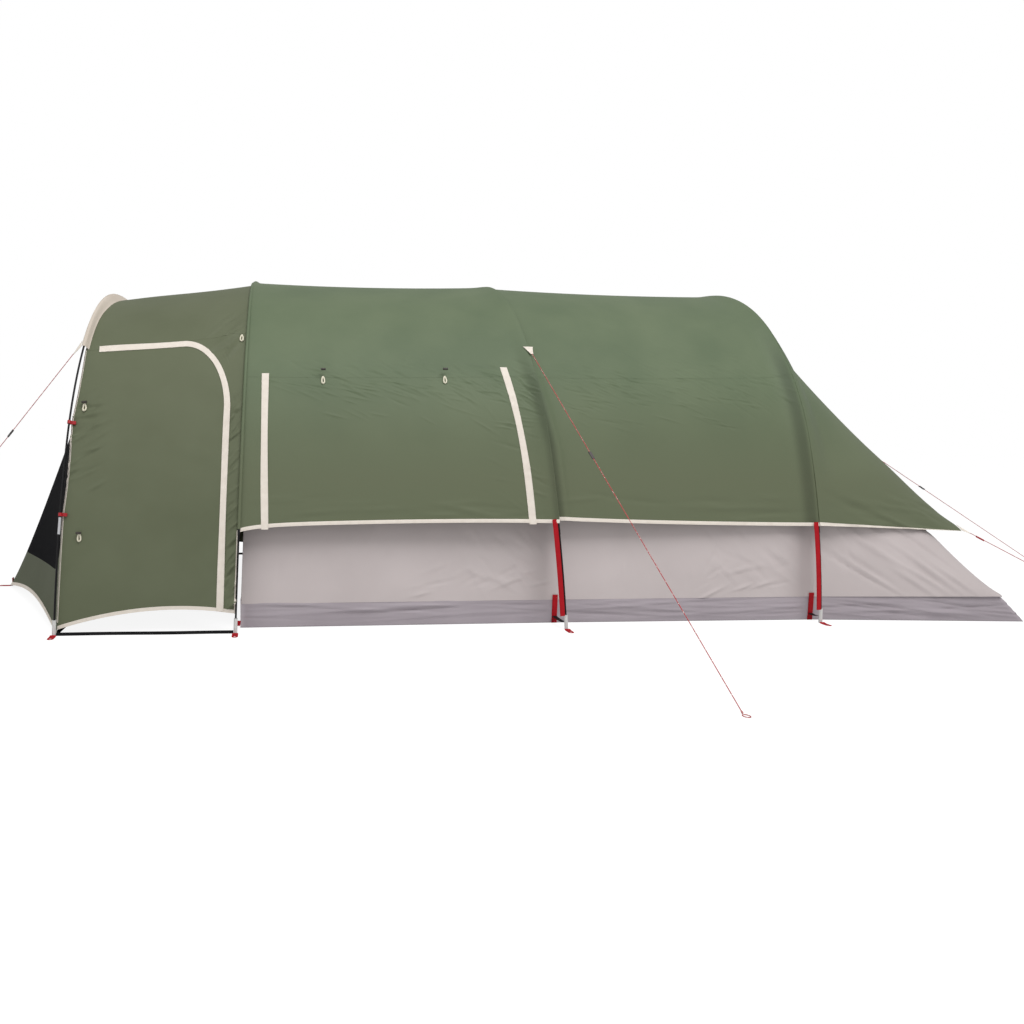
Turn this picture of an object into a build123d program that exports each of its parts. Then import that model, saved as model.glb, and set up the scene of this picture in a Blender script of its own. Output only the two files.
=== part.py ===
from build123d import *
import math
import os

# A tunnel tent on four bent hoop poles, in millimetres.
# +Z is up, the porch points to -X and the sleeping end to +X, and Y is across.
# The left side is -Y. The origin is on the ground, in the middle of the tent's length and width.

# Lengths along the tent, from foot to foot of the hoops
bow_length = 610.0  # porch hoop to the front peg point
porch_length = 850.0  # porch hoop to front hoop
front_bay_length = 1660.0  # front hoop to middle hoop
rear_bay_length = 1435.0  # middle hoop to rear hoop
tail_length = 1165.0  # rear hoop to the end of the floor

# Hoops: half of the width at the feet, height of the crown, and how far the crown leans to +X
porch_half_width = 1190.0
porch_height = 1775.0
porch_lean = 95.0
front_half_width = 1190.0
front_height = 1872.0
front_lean = 60.0
middle_half_width = 1190.0
middle_height = 1890.0
middle_lean = -180.0
rear_half_width = 1120.0
rear_height = 1888.0
rear_lean = -105.0

# A bent pole turns from upright at the ground to level at the crown in three arcs a side
leg_top_slope = math.radians(14.5)  # slope from upright where the leg arc ends
shoulder_top_slope = math.radians(42.0)  # slope where the shoulder arc ends
leg_to_shoulder_radius = 2.62

# Poles and their fittings
pole_radius = 4.75
ferrule_radius = 6.2
ferrule_length = 80.0
ferrule_height = 520.0  # middle of the lowest ferrule above the ground
ferrule_clearance = 0.3
tip_radius = 9.0
tip_bore_radius = 6.0
tip_length = 75.0
tip_floor = 10.0
tip_lift = 1.5  # keeps the edge of a leaning tip off the ground
sleeve_inner_radius = 6.6
sleeve_wall = 1.8

# Cloth
cloth = 3.0  # thickness of a cloth panel
trim = 2.0  # thickness of tape and webbing sewn on top
seat = 0.3  # clearance between pieces that are sewn or rest on each other
front_seam_height = 1263.0  # where roof and side meet, on each hoop
middle_seam_height = 1300.0
rear_seam_height = 1340.0
porch_seam_slope = math.radians(40.0)
front_hem_height = 490.0  # lower edge of the fly at each hoop
middle_hem_height = 540.0
rear_hem_height = 520.0
hem_tape_width = 20.0

# Porch, its front and its visor
porch_edge_setback = 30.0  # cloth edge behind the porch hoop
porch_edge_inset = 6.0  # cloth edge inside the porch hoop
porch_front_hem = 55.0  # lower edge at the porch hoop, half way and at the front hoop
porch_middle_hem = 126.0
porch_rear_hem = 102.0
visor_front = 12.0  # visor in front of the porch hoop
visor_overlap = 10.0  # visor over the porch roof
visor_foot_height = 1390.0
bow_hem_height = 32.0
bow_hollow = 0.82  # below one, the ridge is hollow instead of straight
mesh_bottom_height = 300.0
mesh_top_height = 1350.0
bow_top_slope = math.radians(80.0)

# Porch doors
door_front = 720.0  # hinge edge, in front of the front hoop
door_rear_top = 38.0  # zip edge, in front of the front hoop, at the top and on the ground
door_rear_bottom = 78.0
door_top_front = 1385.0
door_top_rear = 1425.0
door_corner_radius = 220.0
door_gap = 0.5
flap_width = 40.0

# Window covers of the front bay
cover_front = 140.0  # front edge, behind the front hoop
cover_rear_top = 1380.0  # rear edge at the seam and at the hem
cover_rear_bottom = 1480.0
cover_gap = 0.5
cover_hinge_gap = 4.0

# Rear fly
rear_fly_length = 905.0  # rear hoop to the rear hem
rear_fly_half_width = 1000.0
rear_fly_corner_height = 480.0
rear_fly_rise = 120.0  # middle of the rear hem above its corners
rear_fly_fullness = 0.75  # below one, the rear hem is squarer than the hoop

# Inner tent
front_inner_gap = 105.0  # inner cloth inside each hoop
middle_inner_gap = 135.0
rear_inner_gap = 65.0
floor_end_half_width = 1150.0
inner_front_setback = 20.0  # front wall behind the front hoop
tub_height = 140.0
tub_rear_slope_run = 140.0  # how far the rear wall of the tub leans in
inner_rear_rise = 50.0
inner_rear_fullness = 0.4
inner_door_half_width = 420.0
inner_door_bottom = 190.0
inner_door_top = 1480.0
inner_door_gap = 0.5

# Webbing and small parts
strap_width = 25.0
floor_tab_width = 28.0
floor_tab_height = 150.0
floor_tab_past = 2.0  # how far a tab reaches past the middle of its hoop's foot
peg_loop_length = 62.0
peg_loop_width = 30.0
peg_hole_radius = 6.0
toggle_radius = 6.0
toggle_length = 24.0
clip_outer_radius = 9.0
clip_length = 16.0
clip_heights = (573.0, 1008.0)
guy_radius = 1.5
guy_tab_length = 60.0
guy_tab_width = 54.0
slider_length = 44.0
slider_width = 14.0
slider_thickness = 6.0
slider_bore_radius = 2.0
guy_loop_radius = 14.0
guy_loop_wire = 2.0
door_toggle_heights = (485.0, 1105.0)
cover_toggle_places = (430.0, 1059.0)  # behind the front hoop
cover_toggle_rise = 14.0  # above the seam, along the cloth

# Guys: where each starts, how far its peg is from a foot or a corner, and where its slider is
middle_guy_height = 1436.0
middle_guy_peg = (164.0, 1149.0)  # behind and out from the middle hoop's foot
middle_slider_share = 0.37
porch_guy_height = 1400.0
porch_guy_peg = (997.0, 247.0)  # in front and in from the porch hoop's foot
porch_slider_share = 0.30
corner_tab_turn = math.radians(5.0)  # share of the rear hem that the corner tab is sewn to
corner_guy_peg = (902.0, 206.0)  # behind and out from the corner of the rear fly
corner_slider_share = 0.06
rear_guy_height = 1420.0
centre_guy_reach = 1830.0  # behind the rear hem
centre_slider_share = 0.53

os.makedirs("parts", exist_ok=True)

# Stations along X
front_end = -(porch_length + bow_length)
rear_end = front_bay_length + rear_bay_length + tail_length
tent_centre = (front_end - peg_loop_length + rear_end) / 2
front_station = -tent_centre
porch_station = front_station - porch_length
bow_station = front_station + front_end
middle_station = front_station + front_bay_length
rear_station = middle_station + rear_bay_length
floor_end = rear_station + tail_length

# Distances of the cloth from the middle of a pole
sleeve_outer_radius = sleeve_inner_radius + sleeve_wall
fly_inner = sleeve_outer_radius + seat
fly_outer = fly_inner + cloth
trim_inner = fly_outer + seat
trim_outer = trim_inner + trim
porch_outer = -porch_edge_inset
porch_inner = porch_outer - cloth
level = math.pi / 2


class Hoop:
    """A bent pole: three tangent arcs a side, in a plane that leans along the tent."""

    def __init__(self, station, half_width, height, lean):
        self.station = station
        self.height = height
        self.half_width = half_width
        self.lean = lean
        self.slant = math.hypot(height, lean)
        cos_leg, sin_leg = math.cos(leg_top_slope), math.sin(leg_top_slope)
        cos_top, sin_top = math.cos(shoulder_top_slope), math.sin(shoulder_top_slope)
        width_share = cos_leg - cos_top + leg_to_shoulder_radius * (1 - cos_leg)
        height_share = sin_top - sin_leg + leg_to_shoulder_radius * sin_leg
        scale = cos_top * height_share - (1 - sin_top) * width_share
        self.crown = (half_width * height_share - self.slant * width_share) / scale
        self.shoulder = (cos_top * self.slant - (1 - sin_top) * half_width) / scale
        self.leg = self.shoulder * leg_to_shoulder_radius
        self.leg_centre = (half_width - self.leg, 0.0)
        step = self.leg - self.shoulder
        self.shoulder_centre = (self.leg_centre[0] + step * cos_leg, step * sin_leg)
        self.crown_centre = (0.0, self.slant - self.crown)

    def plane(self, shift=0.0):
        """The plane of the hoop, moved along the tent: its x is across, its y is up the hoop."""
        upright = Plane(
            origin=(self.station, 0, 0), x_dir=(0, 1, 0), z_dir=(self.height, 0, -self.lean)
        )
        return upright.offset(shift)

    def point(self, slope, offset, side):
        """A point across and up the hoop, at a slope from upright and an offset outwards."""
        if slope > shoulder_top_slope:
            centre, radius = self.crown_centre, self.crown
        elif slope > leg_top_slope:
            centre, radius = self.shoulder_centre, self.shoulder
        else:
            centre, radius = self.leg_centre, self.leg
        across = centre[0] + (radius + offset) * math.cos(slope)
        return (side * across, centre[1] + (radius + offset) * math.sin(slope))

    def slope_at(self, height, offset=0.0):
        """The slope from upright at a height above the ground, at an offset outwards."""
        up = height * self.slant / self.height
        for centre, radius, top in (
            (self.leg_centre, self.leg, leg_top_slope),
            (self.shoulder_centre, self.shoulder, shoulder_top_slope),
            (self.crown_centre, self.crown, level),
        ):
            turn = (up - centre[1]) / (radius + offset)
            if turn <= math.sin(top):
                return math.asin(turn)
        return level

    def place(self, slope, offset, side, shift=0.0):
        """The same point in space."""
        return self.plane(shift).from_local_coords(Vector(*self.point(slope, offset, side)))

    def pole_plane(self, slope, side):
        """A plane square to the pole: its z is along the pole, upwards, and its x is along the tent."""
        across, up = -side * math.sin(slope), math.cos(slope)
        hoop_plane = self.plane()
        along = hoop_plane.x_dir * across + hoop_plane.y_dir * up
        return Plane(origin=self.place(slope, 0, side), x_dir=hoop_plane.z_dir, z_dir=along)


class LowArch:
    """A hoop's curve pressed low, for the rear edge of cloth that starts at that hoop."""

    def __init__(self, hoop, station, half_width, base, rise, low, fullness):
        self.hoop = hoop
        self.station = station
        self.half_width = half_width
        self.base = base
        self.rise = rise
        self.fullness = fullness
        self.first_across, self.first_up = hoop.point(low, 0, 1)

    def plane(self, shift=0.0):
        """The upright plane of the edge."""
        return Plane(origin=(self.station + shift, 0, 0), x_dir=(0, 1, 0), z_dir=(1, 0, 0))

    def point(self, slope, offset, side):
        """The hoop's point at that slope, with its width and height brought to those of the edge."""
        across, up = self.hoop.point(slope, 0, 1)
        width = max(0.0, across / self.first_across) ** self.fullness
        share = (up - self.first_up) / (self.hoop.slant - self.first_up)
        return (side * width * (self.half_width + offset), self.base + share * (self.rise + offset))


porch_hoop = Hoop(porch_station, porch_half_width, porch_height, porch_lean)
front_hoop = Hoop(front_station, front_half_width, front_height, front_lean)
middle_hoop = Hoop(middle_station, middle_half_width, middle_height, middle_lean)
rear_hoop = Hoop(rear_station, rear_half_width, rear_height, rear_lean)
hoops = (porch_hoop, front_hoop, middle_hoop, rear_hoop)
sides = (-1, 1)
front_seam_slope = front_hoop.slope_at(front_seam_height)
middle_seam_slope = middle_hoop.slope_at(middle_seam_height)
rear_seam_slope = rear_hoop.slope_at(rear_seam_height)


def save(part, name):
    """Labels a finished piece and writes it under its name."""
    part.label = name
    export_step(part, f"parts/{name}.step")


def twin(part):
    """The same piece on the other side of the tent."""
    with BuildPart() as other:
        mirror(part, about=Plane.XZ)
    return other.part


def draw_run(curve, start, end, offset, side):
    """Draws a curve's arcs between two slopes, as part of the current line."""
    low, high = min(start, end), max(start, end)
    turns = [t for t in (leg_top_slope, shoulder_top_slope) if low < t < high]
    stops = sorted([start, end, *turns], reverse=start > end)
    for first, last in zip(stops, stops[1:]):
        # The middle slope picks the arc, and the ends are taken on that same arc.
        ThreePointArc(
            curve.point(first, offset, side),
            curve.point((first + last) / 2, offset, side),
            curve.point(last, offset, side),
        )


def draw_side(curve, low, high, inner, outer, side):
    """Draws the section of a side panel between two slopes, as a face of the current sketch."""
    with BuildLine() as outline:
        draw_run(curve, low, high, outer, side)
        Line(curve.point(high, outer, side), curve.point(high, inner, side))
        draw_run(curve, high, low, inner, side)
        Line(curve.point(low, inner, side), curve.point(low, outer, side))
    make_face(outline.edges())


def draw_over(curve, low, offset, side):
    """Draws a curve from a slope on one side, over its crown, to that slope on the other side."""
    draw_run(curve, low, shoulder_top_slope, offset, side)
    ThreePointArc(
        curve.point(shoulder_top_slope, offset, side),
        curve.point(level, offset, side),
        curve.point(shoulder_top_slope, offset, -side),
    )
    draw_run(curve, shoulder_top_slope, low, offset, -side)


def draw_arch(curve, low, inner, outer):
    """Draws the section of a panel that goes over the crown, from slope to slope."""
    with BuildLine() as outline:
        draw_over(curve, low, outer, -1)
        Line(curve.point(low, outer, 1), curve.point(low, inner, 1))
        draw_over(curve, low, inner, 1)
        Line(curve.point(low, inner, -1), curve.point(low, outer, -1))
    make_face(outline.edges())


def side_panel(sections):
    """A cloth panel on the left side, through sections (curve, shift, low, high, inner, outer)."""
    with BuildPart() as panel:
        for curve, shift, low, high, inner, outer in sections:
            with BuildSketch(curve.plane(shift)):
                draw_side(curve, low, high, inner, outer, -1)
        loft(ruled=True)
    return panel.part


def arch_panel(sections):
    """A cloth panel over the crown, through sections (curve, shift, low, inner, outer)."""
    with BuildPart() as panel:
        for curve, shift, low, inner, outer in sections:
            with BuildSketch(curve.plane(shift)):
                draw_arch(curve, low, inner, outer)
        loft(ruled=True)
    return panel.part


def common(part, outline):
    """The part of a left side panel that lies behind an outline in the XZ plane."""
    with BuildPart() as cut:
        add(part)
        with BuildSketch(Plane.XZ):
            add(outline)
        extrude(amount=2 * porch_half_width, mode=Mode.INTERSECT)
    return cut.part


def without(part, outline):
    """A left side panel with an outline in the XZ plane cut out of it."""
    with BuildPart() as cut:
        add(part)
        with BuildSketch(Plane.XZ):
            add(outline)
        extrude(amount=2 * porch_half_width, mode=Mode.SUBTRACT)
    return cut.part


# Poles
for hoop, name in zip(hoops, ("porch_pole", "front_pole", "middle_pole", "rear_pole")):
    foot_slope = hoop.slope_at(tip_lift + tip_floor + seat)
    with BuildPart() as pole:
        with BuildLine(hoop.plane()) as bend:
            draw_over(hoop, foot_slope, 0, -1)
        with BuildSketch(hoop.pole_plane(foot_slope, -1)):
            Circle(pole_radius)
        sweep(path=bend.line)
    save(pole.part, name)

# Ferrules, the tubes that join the lowest two pole sections
with BuildPart() as ferrules:
    for hoop in hoops:
        for side in sides:
            middle = hoop.pole_plane(hoop.slope_at(ferrule_height), side)
            with BuildSketch(middle.offset(-ferrule_length / 2)):
                Circle(ferrule_radius)
                Circle(pole_radius + ferrule_clearance, mode=Mode.SUBTRACT)
            extrude(amount=ferrule_length)
save(ferrules.part, "pole_ferrules")

# Tips, the blind plastic sockets that the pole ends stand in
with BuildPart() as tips:
    for hoop in hoops:
        for side in sides:
            foot = hoop.pole_plane(0.0, side)
            with BuildSketch(foot.offset(tip_lift)):
                Circle(tip_radius)
            extrude(amount=tip_length)
            with BuildSketch(foot.offset(tip_lift + tip_floor)):
                Circle(tip_bore_radius)
            extrude(amount=tip_length, mode=Mode.SUBTRACT)
save(tips.part, "pole_tips")

# Sleeves under the fly
hem_heights = (front_hem_height, middle_hem_height, rear_hem_height)
for hoop, hem, name in zip(hoops[1:], hem_heights, ("front_sleeve", "middle_sleeve", "rear_sleeve")):
    hem_slope = hoop.slope_at(hem + hem_tape_width)
    with BuildPart() as sleeve:
        with BuildLine(hoop.plane()) as bend:
            draw_over(hoop, hem_slope, 0, -1)
        with BuildSketch(hoop.pole_plane(hem_slope, -1)):
            Circle(sleeve_outer_radius)
            Circle(sleeve_inner_radius, mode=Mode.SUBTRACT)
        sweep(path=bend.line)
    save(sleeve.part, name)

# Visor, the beige sleeve over the top of the porch hoop
visor_slope = porch_hoop.slope_at(visor_foot_height)
roof_rise = (front_height - porch_height) / porch_length
visor_rear = porch_outer + 3 * seat + visor_overlap * max(0.0, roof_rise)
visor = arch_panel(
    [
        (porch_hoop, -visor_front, visor_slope, pole_radius + seat, pole_radius + seat + cloth),
        (porch_hoop, 0, visor_slope, pole_radius + seat, pole_radius + seat + cloth),
        (
            porch_hoop,
            porch_edge_setback + visor_overlap,
            visor_slope,
            visor_rear,
            visor_rear + cloth,
        ),
    ]
)
save(visor, "porch_visor")

# Porch roof
porch_rear_outer = -sleeve_outer_radius - seat
porch_rear_inner = porch_rear_outer - cloth
porch_roof = arch_panel(
    [
        (porch_hoop, porch_edge_setback, porch_seam_slope, porch_inner, porch_outer),
        (front_hoop, 0, porch_seam_slope, porch_rear_inner, porch_rear_outer),
    ]
)
save(porch_roof, "porch_roof")


# Porch sides, their doors and trim
def porch_skin(inner_lift, outer_lift):
    """The left porch wall from the ground to the roof, with its faces moved outwards."""
    ground = math.radians(0.3)
    return side_panel(
        [
            (
                porch_hoop,
                porch_edge_setback,
                ground,
                porch_seam_slope,
                porch_inner + inner_lift,
                porch_outer + outer_lift,
            ),
            (
                front_hoop,
                0,
                ground,
                porch_seam_slope,
                porch_rear_inner + inner_lift,
                porch_rear_outer + outer_lift,
            ),
        ]
    )


hem_front_x = porch_station - porch_edge_setback
hem_points = (
    (hem_front_x, porch_front_hem),
    ((porch_station + front_station) / 2, porch_middle_hem),
    (front_station + porch_edge_setback, porch_rear_hem),
)


def under_hem(rise):
    """The outline of all that lies under the curved porch hem, moved up."""
    first, middle, last = [(x, z + rise) for x, z in hem_points]
    with BuildSketch() as outline:
        with BuildLine():
            ThreePointArc(first, middle, last)
            Polyline(last, (last[0], -cloth), (first[0], -cloth), first)
        make_face()
    return outline.sketch


def door_outline(grow):
    """The outline of the door, grown on its three sewn or zipped edges."""
    front = front_station - door_front - grow
    corners = (
        (front, -cloth),
        (front, door_top_front + grow),
        (front_station - door_rear_top + grow, door_top_rear + grow),
        (front_station - door_rear_bottom + grow, -cloth),
    )
    with BuildSketch() as outline:
        with BuildLine():
            Polyline(*corners, close=True)
        make_face()
        corner = outline.vertices().sort_by(Axis.Y)[-1]
        fillet(corner, door_corner_radius + grow)
    return outline.sketch


def flap_outline():
    """The storm flap along the top and the zip edge of the door."""
    with BuildSketch() as outline:
        add(door_outline(flap_width / 2))
        add(door_outline(-flap_width / 2), mode=Mode.SUBTRACT)
        with BuildLine():
            hinge_x = front_station - door_front
            reach = flap_width / 2
            Polyline(
                (hinge_x - 2 * reach, -cloth),
                (hinge_x - 2 * reach, door_top_rear + 2 * reach),
                (hinge_x + reach, door_top_rear + 2 * reach),
                (hinge_x + reach, -cloth),
                close=True,
            )
        make_face(mode=Mode.SUBTRACT)
    return outline.sketch


porch_wall = without(porch_skin(0, 0), under_hem(0))
door_left = common(porch_wall, door_outline(-door_gap / 2))
porch_side_left = without(porch_wall, door_outline(door_gap / 2))
trim_wall = porch_skin(cloth + seat, seat + trim)
flap_left = without(common(trim_wall, flap_outline()), under_hem(hem_tape_width + seat))
tape_wall = without(common(trim_wall, under_hem(hem_tape_width)), under_hem(0))
door_tape = common(tape_wall, door_outline(-door_gap / 2))
side_tape = without(tape_wall, door_outline(door_gap / 2))

with BuildPart() as door_trim_left:
    add(flap_left)
    add(door_tape)

for piece, name in (
    (porch_side_left, "porch_side"),
    (door_left, "door"),
    (door_trim_left.part, "door_trim"),
):
    save(piece, f"{name}_left")
    save(twin(piece), f"{name}_right")


# Front bow of the porch: a shell of two walls that meet in a ridge at the front peg
def bow_section(slope):
    """Half width, wall position, ridge position and height of the bow at a slope of the hoop."""
    corner = porch_hoop.place(slope, porch_inner - seat, 1, porch_edge_setback + seat + cloth)
    share = corner.Z / porch_height
    ridge = bow_station + (corner.X - bow_station) * min(1.0, share) ** bow_hollow
    return corner.Y, corner.X - cloth, min(ridge, corner.X - cloth), corner.Z


def bow_shell(low, high, steps):
    """The bow between two slopes, as a loft of level sections, each two walls in a V."""
    with BuildPart() as shell:
        for step in range(steps + 1):
            wide, wall, ridge, up = bow_section(low + (high - low) * step / steps)
            with BuildSketch(Plane.XY.offset(up)):
                with BuildLine():
                    Polyline(
                        (wall, -wide),
                        (ridge, 0),
                        (wall, wide),
                        (wall + cloth, wide),
                        (ridge + cloth, 0),
                        (wall + cloth, -wide),
                        close=True,
                    )
                make_face()
        loft(ruled=True)
    return shell.part


mesh_bottom_slope = porch_hoop.slope_at(mesh_bottom_height)
mesh_top_slope = porch_hoop.slope_at(mesh_top_height)
save(bow_shell(porch_hoop.slope_at(bow_hem_height), mesh_bottom_slope, 1), "bow_skirt")
save(bow_shell(mesh_bottom_slope, mesh_top_slope, 3), "bow_mesh")
save(bow_shell(mesh_top_slope, bow_top_slope, 3), "bow_top")

# Fly over the two bays
middle_hem_slope = middle_hoop.slope_at(middle_hem_height)
rear_hem_slope = rear_hoop.slope_at(rear_hem_height)
front_lip = -fly_outer  # the fly starts just in front of the front hoop

front_bay_roof = arch_panel(
    [
        (front_hoop, front_lip, front_seam_slope, fly_inner, fly_outer),
        (middle_hoop, 0, middle_seam_slope, fly_inner, fly_outer),
    ]
)
save(front_bay_roof, "front_bay_roof")
rear_bay_roof = arch_panel(
    [
        (middle_hoop, 0, middle_seam_slope, fly_inner, fly_outer),
        (rear_hoop, 0, rear_seam_slope, fly_inner, fly_outer),
    ]
)
save(rear_bay_roof, "rear_bay_roof")


def front_bay_skin(inner, outer, hem_rise=0.0, seam_drop=0.0):
    """The left wall of the front bay, with its hem raised and its top lowered."""
    return side_panel(
        [
            (
                hoop,
                shift,
                hoop.slope_at(hem + hem_rise),
                seam - seam_drop / hoop.shoulder,
                inner,
                outer,
            )
            for hoop, shift, hem, seam in (
                (front_hoop, front_lip, front_hem_height, front_seam_slope),
                (middle_hoop, 0, middle_hem_height, middle_seam_slope),
            )
        ]
    )


def cover_outline(grow):
    """The outline of the window cover, grown on its front and rear edges."""
    top, bottom = middle_height, 0.0
    seam_height = middle_hoop.place(middle_seam_slope, 0, 1).Z
    rake = (cover_rear_bottom - cover_rear_top) / (seam_height - middle_hem_height)
    front = front_station + cover_front - grow
    rear_low = front_station + cover_rear_bottom + rake * (middle_hem_height - bottom) + grow
    rear_high = front_station + cover_rear_bottom - rake * (top - middle_hem_height) + grow
    with BuildSketch() as outline:
        with BuildLine():
            Polyline(
                (front, bottom), (front, top), (rear_high, top), (rear_low, bottom), close=True
            )
        make_face()
    return outline.sketch


def cover_flap_outline():
    """Both storm flaps of a window cover, over its zips."""
    with BuildSketch() as outline:
        add(cover_outline(flap_width / 2))
        add(cover_outline(-flap_width / 2), mode=Mode.SUBTRACT)
    return outline.sketch


bay_wall = front_bay_skin(fly_inner, fly_outer)
front_bay_left = without(bay_wall, cover_outline(cover_gap / 2))
cover_wall = front_bay_skin(fly_inner, fly_outer, 0.0, cover_hinge_gap)
window_cover_left = common(cover_wall, cover_outline(-cover_gap / 2))
cover_flaps = common(
    front_bay_skin(trim_inner, trim_outer, hem_tape_width + seat, cover_hinge_gap),
    cover_flap_outline(),
)
bay_tape = side_panel(
    [
        (hoop, shift, hoop.slope_at(hem), hoop.slope_at(hem + hem_tape_width), trim_inner, trim_outer)
        for hoop, shift, hem in (
            (front_hoop, front_lip, front_hem_height),
            (middle_hoop, 0, middle_hem_height),
        )
    ]
)
with BuildPart() as cover_trim_left:
    add(cover_flaps)
    add(common(bay_tape, cover_outline(-cover_gap / 2)))

rear_bay_left = side_panel(
    [
        (middle_hoop, 0, middle_hem_slope, middle_seam_slope, fly_inner, fly_outer),
        (rear_hoop, 0, rear_hem_slope, rear_seam_slope, fly_inner, fly_outer),
    ]
)
for piece, name in (
    (front_bay_left, "front_bay"),
    (window_cover_left, "window_cover"),
    (cover_trim_left.part, "cover_trim"),
    (rear_bay_left, "rear_bay"),
):
    save(piece, f"{name}_left")
    save(twin(piece), f"{name}_right")

# Rear fly, from the rear hoop down to a low arch between its two pegged corners
rear_edge = LowArch(
    rear_hoop,
    rear_station + rear_fly_length,
    rear_fly_half_width,
    rear_fly_corner_height,
    rear_fly_rise,
    rear_hem_slope,
    rear_fly_fullness,
)
rear_fly = arch_panel(
    [
        (rear_hoop, 0, rear_hem_slope, fly_inner, fly_outer),
        (rear_hoop, fly_outer, rear_hem_slope, fly_inner, fly_outer),
        (rear_edge, 0, rear_hem_slope, 0, cloth),
    ]
)
save(rear_fly, "rear_fly")

# Hem tape of the fly's fixed walls, and of the porch beside the doors
rear_bay_tape = side_panel(
    [
        (hoop, 0, hoop.slope_at(hem), hoop.slope_at(hem + hem_tape_width), trim_inner, trim_outer)
        for hoop, hem in ((middle_hoop, middle_hem_height), (rear_hoop, rear_hem_height))
    ]
)
fixed_bay_tape = without(bay_tape, cover_outline(cover_gap / 2))
with BuildPart() as fly_tape:
    for piece in (fixed_bay_tape, rear_bay_tape):
        add(piece)
        mirror(piece, about=Plane.XZ)
save(fly_tape.part, "fly_hem_tape")
with BuildPart() as porch_tape:
    add(side_tape)
    mirror(side_tape, about=Plane.XZ)
save(porch_tape.part, "porch_hem_tape")

# Inner tent: tub floor
tub_front = front_station + inner_front_setback
tub_outline = (
    (tub_front, front_half_width - front_inner_gap),
    (middle_station, middle_half_width - middle_inner_gap),
    (rear_station, rear_half_width - rear_inner_gap),
    (floor_end, floor_end_half_width),
)


def tub_level(height, wall):
    """The outline of the tub at a height, inside a wall thickness."""
    end = floor_end - tub_rear_slope_run * height / tub_height - wall
    left = [(min(max(x, tub_front + wall), end), wall - y) for x, y in tub_outline]
    right = [(x, -y) for x, y in reversed(left)]
    with BuildSketch(Plane.XY.offset(height)) as outline:
        with BuildLine():
            Polyline(*left, *right, close=True)
        make_face()
    return outline.sketch


with BuildPart() as tub_hollow:
    loft([tub_level(cloth, cloth), tub_level(tub_height, cloth)], ruled=True)
with BuildPart() as tub:
    loft([tub_level(0, 0), tub_level(tub_height, 0)], ruled=True)
    add(tub_hollow.part, mode=Mode.SUBTRACT)
save(tub.part, "tub_floor")

# Inner tent: walls and roof between the hoops
inner_hoops = (
    (front_hoop, inner_front_setback, front_seam_slope, -front_inner_gap),
    (middle_hoop, 0, middle_seam_slope, -middle_inner_gap),
    (rear_hoop, 0, rear_seam_slope, -rear_inner_gap),
)
wall_foot = tub_height + 3 * seat
inner_wall_left = side_panel(
    [
        (hoop, shift, hoop.slope_at(wall_foot, offset - cloth), seam, offset - cloth, offset)
        for hoop, shift, seam, offset in inner_hoops
    ]
)
save(inner_wall_left, "inner_wall_left")
save(twin(inner_wall_left), "inner_wall_right")
inner_roof = arch_panel(
    [(hoop, shift, seam, offset - cloth, offset) for hoop, shift, seam, offset in inner_hoops]
)
save(inner_roof, "inner_roof")

# Inner tent: rear wall, sloping from the rear hoop down to the end of the tub
inner_foot_slope = rear_hoop.slope_at(wall_foot, -rear_inner_gap - cloth)
inner_rear_edge = LowArch(
    rear_hoop,
    floor_end - tub_rear_slope_run,
    floor_end_half_width - cloth,
    tub_height + seat,
    inner_rear_rise,
    inner_foot_slope,
    inner_rear_fullness,
)
inner_rear = arch_panel(
    [
        (rear_hoop, 0, inner_foot_slope, -rear_inner_gap - cloth, -rear_inner_gap),
        (inner_rear_edge, 0, inner_foot_slope, 0, cloth),
    ]
)
save(inner_rear, "inner_rear")


# Inner tent: front wall with its doorway, and the door in it
def inner_doorway(grow):
    """The outline of the inner door, grown all round."""
    half, low = inner_door_half_width + grow, inner_door_bottom - grow
    shoulder = inner_door_top - inner_door_half_width
    with BuildLine() as outline:
        Polyline((half, shoulder), (half, low), (-half, low), (-half, shoulder))
        ThreePointArc((-half, shoulder), (0, inner_door_top + grow), (half, shoulder))
    make_face(outline.edges())


front_wall_foot = front_hoop.slope_at(wall_foot, -front_inner_gap)
with BuildPart() as inner_front:
    with BuildSketch(front_hoop.plane(inner_front_setback - seat - cloth)) as wall:
        with BuildLine():
            draw_over(front_hoop, front_wall_foot, -front_inner_gap, -1)
            Line(
                front_hoop.point(front_wall_foot, -front_inner_gap, 1),
                front_hoop.point(front_wall_foot, -front_inner_gap, -1),
            )
        make_face()
    extrude(amount=cloth)
    with BuildSketch(front_hoop.plane(inner_front_setback - seat - cloth)):
        inner_doorway(inner_door_gap)
    extrude(amount=cloth, mode=Mode.SUBTRACT)
save(inner_front.part, "inner_front_wall")
with BuildPart() as inner_door:
    with BuildSketch(front_hoop.plane(inner_front_setback - seat - cloth)):
        inner_doorway(0)
    extrude(amount=cloth)
save(inner_door.part, "inner_door")


# Tension straps of red webbing, from the fly's hem down the legs of the middle and rear hoops
def tension_strap(hoop, hem, previous, length):
    """A strap in front of the left leg of a hoop, laid on the cloth that comes from another hoop."""
    taper = (previous.half_width - hoop.half_width) / length
    low, high = hoop.slope_at(tip_length), hoop.slope_at(hem + hem_tape_width)
    edges = []
    for shift in (-tip_radius - seat - strap_width, -tip_radius - seat):
        inner = trim_outer + 2 * seat + max(0.0, -shift * taper)
        edges.append((hoop, shift, low, high, inner, inner + trim))
    return side_panel(edges)


with BuildPart() as tension_left:
    add(tension_strap(middle_hoop, middle_hem_height, front_hoop, front_bay_length))
    add(tension_strap(rear_hoop, rear_hem_height, middle_hoop, rear_bay_length))
with BuildPart() as tension_straps:
    add(tension_left.part)
    mirror(tension_left.part, about=Plane.XZ)
save(tension_straps.part, "tension_straps")


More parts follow.
